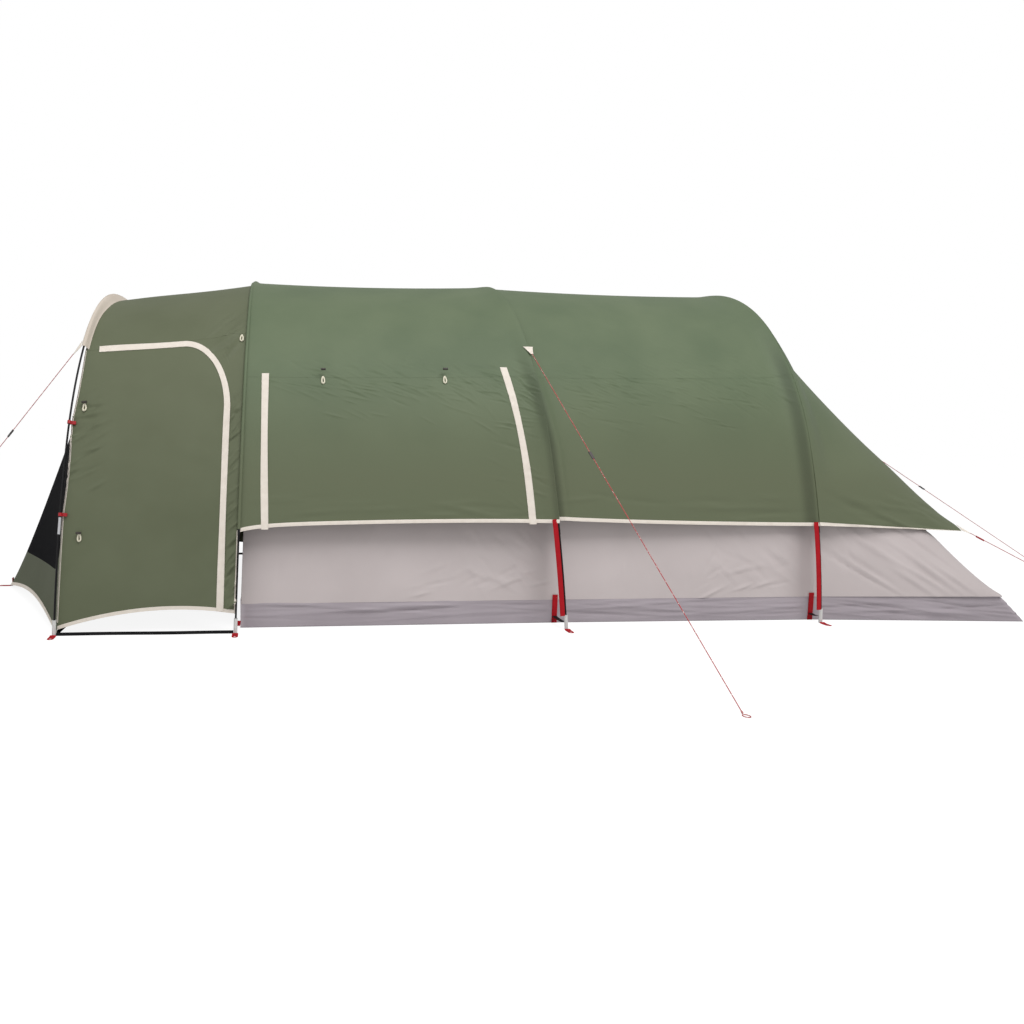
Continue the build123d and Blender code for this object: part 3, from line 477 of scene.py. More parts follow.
def make_piece(
    name: str,
    grids: Sequence[Grid],
    finish: Finish,
    body: str = "tent",
    nodes: Sequence[str] = (),
    thickness: float = TAPE,
) -> bpy.types.Object:
    """Makes one piece of one or more grids, gives it thickness inwards and puts it on a body.

    Args:
        name: the piece's name.
        grids: its surfaces.
        finish: its material.
        body: the body that it rides on.
        nodes: the frame's nodes that it stands for.
        thickness: its thickness, or zero for a closed surface.

    Returns:
        The piece.
    """
    starts = np.cumsum([0] + [g.points[..., 0].size for g in grids])
    quads = np.concatenate([g.quads() + start for g, start in zip(grids, starts)])
    points = np.concatenate([g.points.reshape(-1, 3) for g in grids])
    uv = np.concatenate([g.map().reshape(-1, 2) for g in grids])
    # painted shade of each point, none where a grid has no shade
    shade = np.concatenate([(0 * g.points[..., 0] if g.shade is None else g.shade).ravel() for g in grids])
    used, quads = np.unique(quads, return_inverse=True)
    quads = quads.reshape(-1, 4)
    mesh = bpy.data.meshes.new(name)
    mesh.from_pydata(points[used], [], quads)
    mesh.uv_layers.new(name="cloth").data.foreach_set("uv", uv[used][quads].astype(np.float32).ravel())
    mesh.polygons.foreach_set("use_smooth", np.ones(len(quads), bool))
    mesh.attributes.new("shade", "FLOAT", "POINT").data.foreach_set("value", shade[used].astype(np.float32))
    edges = np.zeros(len(mesh.loops), np.int32)
    mesh.loops.foreach_get("edge_index", edges)
    mesh.edges.foreach_set("use_edge_sharp", np.bincount(edges, minlength=len(mesh.edges)) == 1)
    mesh.update()
    piece = link_object(name, mesh)
    if thickness > 0:
        solid = piece.modifiers.new("thickness", "SOLIDIFY")
        solid.thickness, solid.offset = thickness, -1.0
    declare(piece, finish, body, nodes)
    log.info("%s: %d faces", name, len(quads))
    return piece


def make_sheet(
    node: str,
    grids: Sequence[Grid],
    finish: Finish,
    rests_on: Sequence[str],
    body: str = "tent",
    turned: bool = False,
) -> None:
    """Makes the cloth piece of a frame node from its panels, and works out the length, width and area of its
    stretched surface, which go no further. Panels sewn in a row add their lengths. A panel that leaves room
    for a door or a cover is cut as strips, laid side by side.

    Args:
        node: the node.
        grids: its panels.
        finish: its material.
        rests_on: the nodes that hold it; not used.
        body: the body that it rides on.
        turned: whether the panels' row runs down their columns.
    """
    piece = make_piece(f"{node}_cloth", grids, finish, body, [node], CLOTH)
    spans = [(float(u[:, -1].max()), float(v[-1].max())) for u, v in (g.lengths() for g in grids)]
    length, width = sum(s[turned] for s in spans), max(s[not turned] for s in spans)
    area = min(sum(g.area() for g in grids), width * length)
    if area < 0.4 * width * length:
        length = area / (0.9 * width)
    list(rests_on)


def ribbon(path: Array, across: Triple, width: float, steps: int = 5) -> Grid:
    """A strap: a path through its middle, repeated in steps across its width."""
    spread = np.linspace(-0.5, 0.5, steps) * width
    return Grid(path[None] + np.array(across) * spread[:, None, None])


def tube(path: Array, radius: Number, sides: int = 14) -> Grid:
    """A round tube, open at its ends: a circle carried along a path, square to it.

    Args:
        path: points along the tube's middle.
        radius: its radius, the same or one for each point.
        sides: points round it.

    Returns:
        The tube's surface.
    """
    along = unit(np.gradient(path, axis=0))
    guide = np.where(np.abs(along[:, :1]) > 0.9, (0.0, 1.0, 0.0), (1.0, 0.0, 0.0))
    first = unit(np.cross(along, guide))
    second = np.cross(along, first)
    turn = np.linspace(0, 2 * math.pi, sides, endpoint=False)[None, :, None]
    ring = first[:, None] * np.cos(turn) + second[:, None] * np.sin(turn)
    size = np.broadcast_to(np.asarray(radius, float), (len(path),))[:, None, None]
    return Grid(path[:, None] + ring * size, wrap=True)


# Shapes of the hoops and of cloth between them


@dataclass(frozen=True)
class Hoop:
    """A bent pole: three tangent arcs a side, in a plane that leans along the tent."""

    station: float
    half_width: float
    height: float
    lean: float

    @property
    def slant(self) -> float:
        """Height of the crown, up the leaning plane."""
        return math.hypot(self.height, self.lean)

    def arcs(self) -> Array:
        """Centre across, centre up and radius of the leg, shoulder and crown arcs.

        The arcs share their slope where they meet, so the half width and the slant height give
        two equations for the shoulder and crown radii.
        """
        cos_leg, sin_leg = math.cos(LEG_TOP), math.sin(LEG_TOP)
        cos_top, sin_top = math.cos(SHOULDER_TOP), math.sin(SHOULDER_TOP)
        wide = cos_leg - cos_top + LEG_TO_SHOULDER * (1 - cos_leg)
        high = sin_top - sin_leg + LEG_TO_SHOULDER * sin_leg
        scale = cos_top * high - (1 - sin_top) * wide
        crown = (self.half_width * high - self.slant * wide) / scale
        shoulder = (cos_top * self.slant - (1 - sin_top) * self.half_width) / scale
        leg = shoulder * LEG_TO_SHOULDER
        first, step = self.half_width - leg, leg - shoulder
        joint = (first + step * cos_leg, step * sin_leg, shoulder)
        return np.array([(first, 0.0, leg), joint, (0.0, self.slant - crown, crown)])

    def section(self, slope: Number, offset: Number = 0.0) -> tuple[Array, Array]:
        """Distance across and up the hoop's plane at a slope from upright, moved outwards."""
        picked = self.arcs()[np.searchsorted((LEG_TOP, SHOULDER_TOP), slope)]
        reach = picked[..., 2] + offset
        return picked[..., 0] + reach * np.cos(slope), picked[..., 1] + reach * np.sin(slope)

    def stand(self, across: Number, up: Number, shift: Number = 0.0) -> Array:
        """A point of the hoop's plane in space, with the plane moved along the tent."""
        lean, rise = self.lean / self.slant, self.height / self.slant
        return join(self.station + up * lean + shift * rise, across, up * rise - shift * lean)

    def place(self, slope: Number, offset: Number, side: Number, shift: Number = 0.0) -> Array:
        """A point in space at a slope of the hoop."""
        across, up = self.section(slope, offset)
        return self.stand(side * across, up, shift)

    def slope_at(self, height: float) -> float:
        """The slope from upright at a height above the ground, by halving."""
        low, high = 0.0, LEVEL
        for _ in range(40):
            middle = (low + high) / 2
            below = self.place(middle, 0.0, 1.0)[2] < height
            low, high = (middle, high) if below else (low, middle)
        return low

    def x_at(self, height: Number, shift: float = 0.0) -> Number:
        """Place along the tent of the hoop's plane at a height."""
        return self.station + shift + height * self.lean / self.height


@dataclass(frozen=True)
class HoopEdge:
    """The edge of cloth that follows a hoop, at an offset outwards and a shift along the tent."""

    hoop: Hoop
    offset: float
    shift: float = 0.0

    def at(self, slope: Number, side: Number) -> Array:
        """Points of the edge at slopes of the hoop."""
        return self.hoop.place(slope, self.offset, side, self.shift)


@dataclass(frozen=True)
class LowEdge:
    """A hoop's curve pressed low: the rear edge of cloth that starts at that hoop.

    Up to the shoulder its width is the hoop's share of width to the power `fullness`, and its
    height is the hoop's share of height. From there a flat arc goes over the middle.
    """

    hoop: Hoop
    station: float
    half_width: float
    base: float
    rise: float
    low: float
    fullness: float

    def at(self, slope: Number, side: Number) -> Array:
        """Points of the edge at slopes of the hoop."""
        first_across, first_up = self.hoop.section(self.low)
        across, up = self.hoop.section(np.minimum(slope, SHOULDER_TOP))
        width = np.maximum(across / first_across, 0.0) ** self.fullness
        share = (up - first_up) / (self.hoop.slant - first_up)
        left = np.clip((LEVEL - np.asarray(slope)) / (LEVEL - SHOULDER_TOP), 0.0, 1.0)
        share = share + (1 - share) * (1 - left**2)
        return join(self.station, side * width * left * self.half_width, self.base + share * self.rise)


@dataclass(frozen=True)
class Creases:
    """A seeded scatter of soft ridges and furrows on a wall, each a stretched bell in x and z."""

    seed: int
    count: int
    x: Pair
    z: Pair
    turn: Pair  # degrees from +X towards +Z
    length: Pair
    width: Pair
    height: Pair

    def lift(self, points: Array) -> Array:
        """Height of the relief at points: the sum of the bells."""
        draw = np.random.default_rng(self.seed)
        x, z = points[..., 0], points[..., 2]
        total = np.zeros_like(x)
        for number in range(self.count):
            centre_x, centre_z = draw.uniform(*self.x), draw.uniform(*self.z)
            turn = math.radians(draw.uniform(*self.turn))
            long, wide = draw.uniform(*self.length), draw.uniform(*self.width)
            high = draw.uniform(*self.height) * (1 if number % 3 else -1)
            along = (x - centre_x) * math.cos(turn) + (z - centre_z) * math.sin(turn)
            across = (z - centre_z) * math.cos(turn) - (x - centre_x) * math.sin(turn)
            total += high * np.exp(-((along / long) ** 2) - (across / wide) ** 2)
        return total


@dataclass(frozen=True)
class Ridge:
    """A ridge, or a furrow, along an upright line x(z) of a wall: a bell across it, even along it.

    It fades out above `top` and below `foot`. A higher `power` flattens the bell and steepens its sides.
    """

    line: Line
    height: float
    front: float
    rear: float
    top: float = 9.0
    foot: float = -9.0
    power: float = 2.0
    fade: float = 0.05  # height over which it fades out

    def lift(self, points: Array) -> Array:
        """Height of the relief at points."""
        off = points[..., 0] - self.line(points[..., 2])
        bell = np.exp(-(np.abs(off / np.where(off < 0, self.front, self.rear)) ** self.power))
        above = np.clip((points[..., 2] - self.top) / self.fade, -60, 60)
        below = np.clip((self.foot - points[..., 2]) / self.fade, -60, 60)
        return self.height * bell / (1 + np.exp(above)) / (1 + np.exp(below))


@dataclass(frozen=True)
class Peak:
    """A small peak on the roof's middle line: a bell along the tent and across it."""

    x: float
    height: float
    along: float
    across: float

    def lift(self, points: Array) -> Array:
        """Height of the relief at points."""
        off = ((points[..., 0] - self.x) / self.along) ** 2 + (points[..., 1] / self.across) ** 2
        return self.height * np.exp(-off)


@dataclass(frozen=True)
class Span:
    """Cloth stretched between two edges.

    A point lies on the straight line between the edges at the same slope. It then sinks inwards
    by a parabola that is deepest half way, and by a tuck that starts beside each pole and is
    weaker over the crown. It doesn't sink at the slope `held`, where it is sewn to something straight.
    """

    front: Union[HoopEdge, LowEdge]
    rear: Union[HoopEdge, LowEdge]
    dip: float = 0.0
    front_tuck: float = 0.0
    rear_tuck: float = 0.0
    tuck_reach: float = 0.06
    held: Optional[float] = None
    held_reach: float = 0.10  # slope over which the sinking starts
    creases: tuple[Union[Creases, Ridge, Peak], ...] = ()

    def points(self, share: Array, slope: Array, side: Number, lift: Number = 0.0) -> Array:
        """Points at a share of the way between the edges.

        Args:
            share: 0 at the front edge, 1 at the rear edge.
            slope: the hoops' slope from upright.
            side: sign of Y.
            lift: distance above the cloth.

        Returns:
            The points.
        """
        first, last = self.front.at(slope, side), self.rear.at(slope, side)
        base = blend(first, last, share[..., None])
        length = np.linalg.norm(last - first, axis=-1)
        tuck = self.front_tuck * (1 - bell(share * length, self.tuck_reach))
        tuck = tuck + self.rear_tuck * (1 - bell((1 - share) * length, self.tuck_reach))
        fall = 4 * self.dip * share * (1 - share) + tuck * (0.3 + 0.7 * np.cos(slope) ** 2)
        if self.held is not None:
            fall = fall * (1 - bell(slope - self.held, self.held_reach))
        relief = sum((c.lift(base) for c in self.creases), np.zeros_like(fall))
        out = join(0.0, side * np.cos(slope), np.sin(slope))
        return base + out * (lift - fall + relief)[..., None]

    def locate(self, x: Array, z: Array) -> tuple[Array, Array]:
        """Share and slope of the cloth at places along the tent and heights, by halving."""
        share = np.full_like(x, 0.5)
        for _ in range(6):
            low, high = np.zeros_like(x), np.full_like(x, LEVEL)
            for _ in range(24):
                slope = (low + high) / 2
                first, last = self.front.at(slope, 1.0), self.rear.at(slope, 1.0)
                below = blend(first[..., 2], last[..., 2], share) < z
                low, high = np.where(below, slope, low), np.where(below, high, slope)
            share = (x - first[..., 0]) / (last[..., 0] - first[..., 0])
        return share, slope

    def wall(self, x: Array, z: Array, side: Side, lift: Number = 0.0) -> Array:
        """Points of a side wall at places along the tent and heights."""
        return self.points(*self.locate(x, z), side.value, lift)

    def tape(self, hem: Line, along: Steps, side: Side, under: float = 0.1, puff: float = 0.0) -> Grid:
        """Hem tape along a wall's lower edge.

        Args:
            hem: height of the edge at a place along the tent.
            along: first place, last place and steps.
            side: the wall's side.
            under: share of the tape's width that is folded under.
            puff: how far the middle of its width stands out.

        Returns:
            The tape's surface.
        """
        x, up = lattice(along, (-under, 1, 6))
        lift = TAPE_LIFT + puff * np.sin(np.clip(up, 0, 1) * math.pi)
        return Grid(self.wall(x, hem(x) + up * HEM_TAPE, side, lift))

    def over(self, low: Pair, columns: int, rows: int, lap: float = 0.0, crowd: float = 1.0) -> Grid:
        """The cloth over the crown, from a low slope on the left to the same slope on the right.

        Args:
            low: the low slope at the front edge and at the rear edge.
            columns: steps along the tent.
            rows: steps across it.
            lap: slope by which the cloth laps over the walls, standing a little off them.
            crowd: over 1 brings the steps closer together towards the walls.

        Returns:
            The surface, across the tent along its rows.
        """
        turn, share = lattice((-1, 1, rows), (0, 1, columns))
        turn = np.sign(turn) * (1 - (1 - np.abs(turn)) ** crowd)
        slope = LEVEL - np.abs(turn) * (LEVEL - blend(*low, share) + lap)
        off = LAP_LIFT * np.clip((np.abs(turn) - 0.9) / 0.06, 0, 1) if lap else 0 * turn
        return Grid(self.points(share, slope, np.sign(turn), off))


def blocks(counts: Sequence[int]) -> tuple[Array, Array]:
    """Block number and place in its block, from 0 to 1, for the lines of a grid.

    Args:
        counts: steps in each block.

    Returns:
        Block numbers and places; the last line closes the last block.
    """
    numbers = np.concatenate([np.full(n, i) for i, n in enumerate(counts)] + [[len(counts) - 1]])
    places = np.concatenate([np.arange(n) / n for n in counts] + [[1.0]])
    return numbers, places


def wall_grid(
    lines: Sequence[Line], levels: Sequence[Line], columns: Sequence[int], rows: Sequence[int]
) -> tuple[Array, Array, Array, Array]:
    """Places x and z of a wall's grid between upright lines x(z) and level lines z(x).

    Args:
        lines: upright lines, from front to rear.
        levels: level lines, from low to high.
        columns: steps between the upright lines.
        rows: steps between the level lines.

    Returns:
        x, z, and the block numbers of the grid's columns and rows.
    """
    column_block, column_place = blocks(columns)
    row_block, row_place = blocks(rows)
    z = np.full((len(row_place), len(column_place)), 0.7)  # a first guess

    def between(values: Sequence[Array], block: Array, place: Array) -> Array:
        """Values at places between those of a block's two lines."""
        stack = np.stack(values)
        picks = (np.broadcast_to(block + i, z.shape)[None] for i in (0, 1))
        first, last = (np.take_along_axis(stack, pick, 0)[0] for pick in picks)
        return blend(first, last, place)

    for _ in range(8):
        x = between([line(z) for line in lines], column_block, column_place)
        z = between([level(x) for level in levels], row_block[:, None], row_place[:, None])
    return x, z, column_block[:-1], row_block[:-1]


PORCH_HOOP = Hoop(-2.219, 1.190, 1.775, 0.095)
FRONT_HOOP = Hoop(-1.369, 1.190, 1.872, 0.060)
MIDDLE_HOOP = Hoop(0.291, 1.190, 1.890, -0.180)
REAR_HOOP = Hoop(1.726, 1.120, 1.888, -0.105)
BAY_HOOPS = (FRONT_HOOP, MIDDLE_HOOP, REAR_HOOP)
BAY_POLES = ("front_pole", "middle_pole", "rear_pole")
PORCH_POLES = ("porch_pole", "front_pole")


@dataclass
class Fly:
    """The outer cloth over the two bays and the rear, with its covers, flaps, tape and sleeves."""

    seams: Triple = (1.263, 1.300, 1.340)  # heights at the front, middle and rear hoops
    hems: Triple = (0.490, 0.540, 0.520)
    hem_arch: float = 0.028  # how far the front bay's hem rises above a straight line
    hem_step: float = 0.014  # how far the rear bay's hem does behind the middle hoop
    creased: float = 0.29  # height below the seam down to which the sides are creased
    cover_front: float = 0.140  # behind the front hoop
    cover_rear: Pair = (1.480, 1.380)  # at the hem and at the seam
    cover_hem: float = 0.55  # height of the hem by that edge
    rear_length: float = 0.905
    rear_half_width: float = 1.000
    rear_corner: float = 0.480
    rear_rise: float = 0.120
    rear_fullness: float = 0.75
    sleeve_radius: float = 0.0084
    sleeve_cloth: float = 0.0008  # its thickness
    front_lip: float = 0.008  # cloth in front of the front hoop, rolled down over the sleeve
    flap_heights: Pair = (0.6, 1.28)  # where the ends of a cover's flaps are found
    flap_below: float = 0.010  # how far they hang below the hem
    rear_tape_lift: float = 0.0026

    def __post_init__(self) -> None:
        """Lays the spans of cloth between the hoops."""
        self.slopes = [hoop.slope_at(seam) for hoop, seam in zip(BAY_HOOPS, self.seams)]
        self.low = REAR_HOOP.slope_at(self.hems[2])
        # Places of the front edge and of a cover's edges at the hem.
        cover = (self.cover_front_line(0.0), self.cover_rear_line(self.cover_hem))
        self.hem_ends = (self.front_line(self.hems[0]), *cover)
        fine = dict(length=(0.026, 0.075), width=(0.0032, 0.0058), height=(0.0010, 0.0026))
        along_seam = dict(turn=(-34, -4), **fine)
        by_pole = dict(turn=(-54, -28), **fine)
        above_hem = dict(turn=(-12, 6), length=(0.05, 0.16), width=(0.009, 0.016), height=(0.001, 0.003))
        by_corner = dict(turn=(-26, -6), length=(0.06, 0.2), width=(0.009, 0.016), height=(0.002, 0.006))
        middle_ridge = Ridge(self.middle_ridge_line, 0.015, 0.055, 0.022, top=1.30)
        middle, rear = HoopEdge(MIDDLE_HOOP, FLY_OUT), HoopEdge(REAR_HOOP, FLY_OUT)
        self.front = Span(
            HoopEdge(FRONT_HOOP, FLY_OUT, -self.front_lip),
            middle,
            dip=0.014,
            rear_tuck=0.018,
            creases=(
                Ridge(self.front_line, -0.004, 0.006, 0.006),
                Peak(FRONT_HOOP.station + FRONT_HOOP.lean + 0.012, 0.028, 0.030, 0.11),
                middle_ridge,
                Creases(3, 110, (-1.20, 0.12), (1.17, 1.38), **along_seam),
                Creases(2, 70, (-1.00, 0.12), (1.05, 1.56), **along_seam),
                Creases(4, 40, (-0.28, 0.18), (1.08, 1.36), **by_pole),
                Creases(5, 22, (-0.12, 0.2), (0.62, 1.05), **along_seam),
                Creases(6, 16, (-1.2, 0.1), (0.54, 0.66), **above_hem),
            ),
        )
        self.back = Span(
            middle,
            rear,
            dip=0.012,
            front_tuck=0.004,
            rear_tuck=0.034,
            tuck_reach=0.065,
            creases=(
                middle_ridge,
                Creases(7, 120, (0.30, 1.55), (1.16, 1.40), **along_seam),
                Creases(1, 70, (0.35, 1.40), (1.02, 1.58), **along_seam),
                Creases(8, 50, (1.10, 1.64), (1.14, 1.44), **by_pole),
                Creases(9, 16, (0.36, 1.62), (0.55, 0.68), **above_hem),
            ),
        )
        end = REAR_HOOP.station + self.rear_length
        shape = (self.rear_half_width, self.rear_corner, self.rear_rise, self.low, self.rear_fullness)
        self.rear_edge = LowEdge(REAR_HOOP, end, *shape)
        sag = Ridge(lambda z: REAR_HOOP.x_at(z) + 0.15, -0.050, 0.08, 0.42, foot=0.86)
        folds = Creases(10, 30, (1.80, 2.55), (0.48, 0.64), **by_corner)
        self.tail = Span(rear, self.rear_edge, dip=-0.014, front_tuck=0.006, creases=(sag, folds))

    def front_line(self, z: Number) -> Number:
        """Place of the front bay's front edge."""
        return FRONT_HOOP.x_at(z, -self.front_lip)

    def middle_ridge_line(self, z: Number) -> Number:
        """The ridge beside the middle hoop: it stands behind the hoop low down and meets it higher up."""
        return MIDDLE_HOOP.x_at(z) + 0.058 * np.clip((1.42 - z) / 0.5, 0, 1)

    def painted_sleeve_shade(self, points: Array) -> Array:
        """Painted shade on the cloth where the sleeves of the middle and rear hoops lie behind it and hold
        back the light.
        """
        middle = Ridge(lambda z: self.middle_ridge_line(z) - 0.045, 0.30, 0.034, 0.028, top=1.33, power=3.2)
        rear = Ridge(lambda z: REAR_HOOP.x_at(z) - 0.026, 0.34, 0.040, 0.018, top=1.45, power=3.2)
        return middle.lift(points) + rear.lift(points)

    def front_hem_line(self, x: Number) -> Number:
        """Height of the front bay's hem: it rises quickly behind the front hoop, then levels."""
        share = np.clip((x - FRONT_HOOP.station) / (MIDDLE_HOOP.station - FRONT_HOOP.station), 0, 1)
        arch = self.hem_arch * (1 - np.exp(-share / 0.06)) * (1 - share**3)
        return blend(*self.hems[:2], share) + arch

    def rear_hem_line(self, x: Number) -> Number:
        """Height of the rear bay's hem."""
        share = (x - MIDDLE_HOOP.station) / (REAR_HOOP.station - MIDDLE_HOOP.station)
        step = self.hem_step * np.clip(1 - share, 0, 1) ** 3
        return blend(*self.hems[1:], share) + step

    def seam_line(self, x: Number) -> Number:
        """Height of the seam between roof and sides, straight between the hoops."""
        return np.interp(x, [hoop.x_at(seam) for hoop, seam in zip(BAY_HOOPS, self.seams)], self.seams)

    def fold_line(self, x: Number) -> Number:
        """Height above which the sides are creased, and so more finely divided."""
        return self.seam_line(x) - self.creased

    def cover_rear_line(self, z: Number) -> Number:
        """Place of the rear edge of a window cover at a height."""
        rake = (self.cover_rear[0] - self.cover_rear[1]) / (self.seams[1] - self.hems[1])
        return FRONT_HOOP.station + self.cover_rear[0] - rake * (z - self.hems[1])

    def cover_front_line(self, z: Number) -> Number:
        """Place of the front edge of a window cover."""
        return FRONT_HOOP.station + self.cover_front + 0 * z

    def build(self) -> None:
        """Makes all pieces of the fly."""
        for number, (span, node, steps) in enumerate(
            ((self.front, "front_bay_roof", 180), (self.back, "rear_bay_roof", 170))
        ):
            grid = span.over((self.slopes[number], self.slopes[number + 1]), steps, 225, SEAM_LAP, CROWD)
            grid.shade = self.painted_sleeve_shade(grid.points)
            make_sheet(node, [grid], FLY_CLOTH, BAY_POLES)
        for side in Side:
            self.build_front_side(side)
            self.build_rear_side(side)
        tail = self.tail.over((self.low, self.low), 84, 281, crowd=1.4)
        make_sheet("rear_fly", [tail], FLY_CLOTH, ["rear_pole"])
        self.build_hem_tape()
        self.build_sleeves()

    def build_front_side(self, side: Side) -> None:
        """Makes a side of the front bay with its window cover and the cover's flaps and hem."""
        lines = (self.front_line, self.cover_front_line, self.cover_rear_line, MIDDLE_HOOP.x_at)
        levels = (self.front_hem_line, self.fold_line, self.seam_line)
        x, z, column, row = wall_grid(lines, levels, (34, 184, 56), (66, 96))
        points = self.front.wall(x, z, side)
        inside = np.broadcast_to(column == 1, (len(row), len(column)))
        wall = Grid(points, keep=~inside, shade=self.painted_sleeve_shade(points))
        make_sheet(f"front_bay_{side.word}", [wall], FLY_CLOTH, BAY_POLES[:2])
        body = f"{side.word}_cover"
        cover = Grid(points, keep=inside)
        make_sheet(f"window_cover_{side.word}", [cover], FLY_CLOTH, BAY_POLES[:2], body=body)
        trim = []
        for line, past, bow in ((self.cover_front_line, 0.010, -0.004), (self.cover_rear_line, 0.040, 0.012)):
            up, over = lattice((0, 1, 80), (-0.5, 0.5, 7))
            low = self.front_hem_line(line(self.flap_heights[0])) - self.flap_below
            high = self.seam_line(line(self.flap_heights[1])) + past
            height = blend(low, high, up)
            wave = 1 + 0.06 * np.sin(9 * height + 2)
            place = line(height) + bow * np.sin(math.pi * up) + over * FLAP * wave
            curl = TAPE_LIFT + LAP_LIFT + 0.0035 * (0.5 + 0.5 * np.sin(17 * height)) * (0.5 + over)
            trim.append(Grid(self.front.wall(place, height, side, curl)))
        trim.append(self.tape(self.front, self.hem_ends[1], self.hem_ends[2], side))
        make_piece(f"cover_trim_{side.word}_tape", trim, FLAP_CLOTH, body, [f"cover_trim_{side.word}"])

    def tape(self, span: Span, start: float, end: float, side: Side, steps: int = 90) -> Grid:
        """Hem tape along a stretch of a bay's lower edge."""
        hem = self.front_hem_line if span is self.front else self.rear_hem_line
        return span.tape(hem, (start, end, steps), side, under=0.15, puff=0.0008)

    def build_rear_side(self, side: Side) -> None:
        """Makes a side of the rear bay."""
        levels = (self.rear_hem_line, self.fold_line, self.seam_line)
        x, z, _, _ = wall_grid((MIDDLE_HOOP.x_at, REAR_HOOP.x_at), levels, (210,), (66, 96))
        points = self.back.wall(x, z, side)
        grid = Grid(points, shade=self.painted_sleeve_shade(points))
        make_sheet(f"rear_bay_{side.word}", [grid], FLY_CLOTH, BAY_POLES[1:])

    def build_hem_tape(self) -> None:
        """Makes the hem tape of the fixed walls and of the rear fly."""
        grids = []
        front_x, cover_start, cover_end = self.hem_ends
        middle_x, rear_x = (hoop.x_at(hem) for hoop, hem in zip(BAY_HOOPS[1:], self.hems[1:]))
        for side in Side:
            grids.append(self.tape(self.front, front_x, cover_start, side, 14))
            grids.append(self.tape(self.front, cover_end, middle_x, side, 16))
            grids.append(self.tape(self.back, middle_x, rear_x, side))
            share, up = lattice((0, 1, 60), (-0.1, 1, 6))
            turn = HEM_TAPE / 3.7 * (1 - 0.35 * share)
            grids.append(Grid(self.tail.points(share, self.low + up * turn, side.value, self.rear_tape_lift)))
        make_piece("fly_hem_tape_sewn", grids, TRIM_TAPE, nodes=["fly_hem_tape"])

    def build_sleeves(self) -> None:
        """Makes the pole sleeves under the fly, as soft tubes round the poles."""
        turn = np.linspace(-1, 1, 161)
        for hoop, hem, name in zip(BAY_HOOPS, self.hems, ("front_sleeve", "middle_sleeve", "rear_sleeve")):
            slope = LEVEL - np.abs(turn) * (LEVEL - hoop.slope_at(hem + HEM_TAPE))
            path = hoop.place(slope, 0.0, np.sign(turn))
            grid = tube(path, self.sleeve_radius + 0.0003 * np.sin(40 * turn))
            make_piece(f"{name}_cloth", [grid], FLY_CLOTH, nodes=[name], thickness=self.sleeve_cloth)


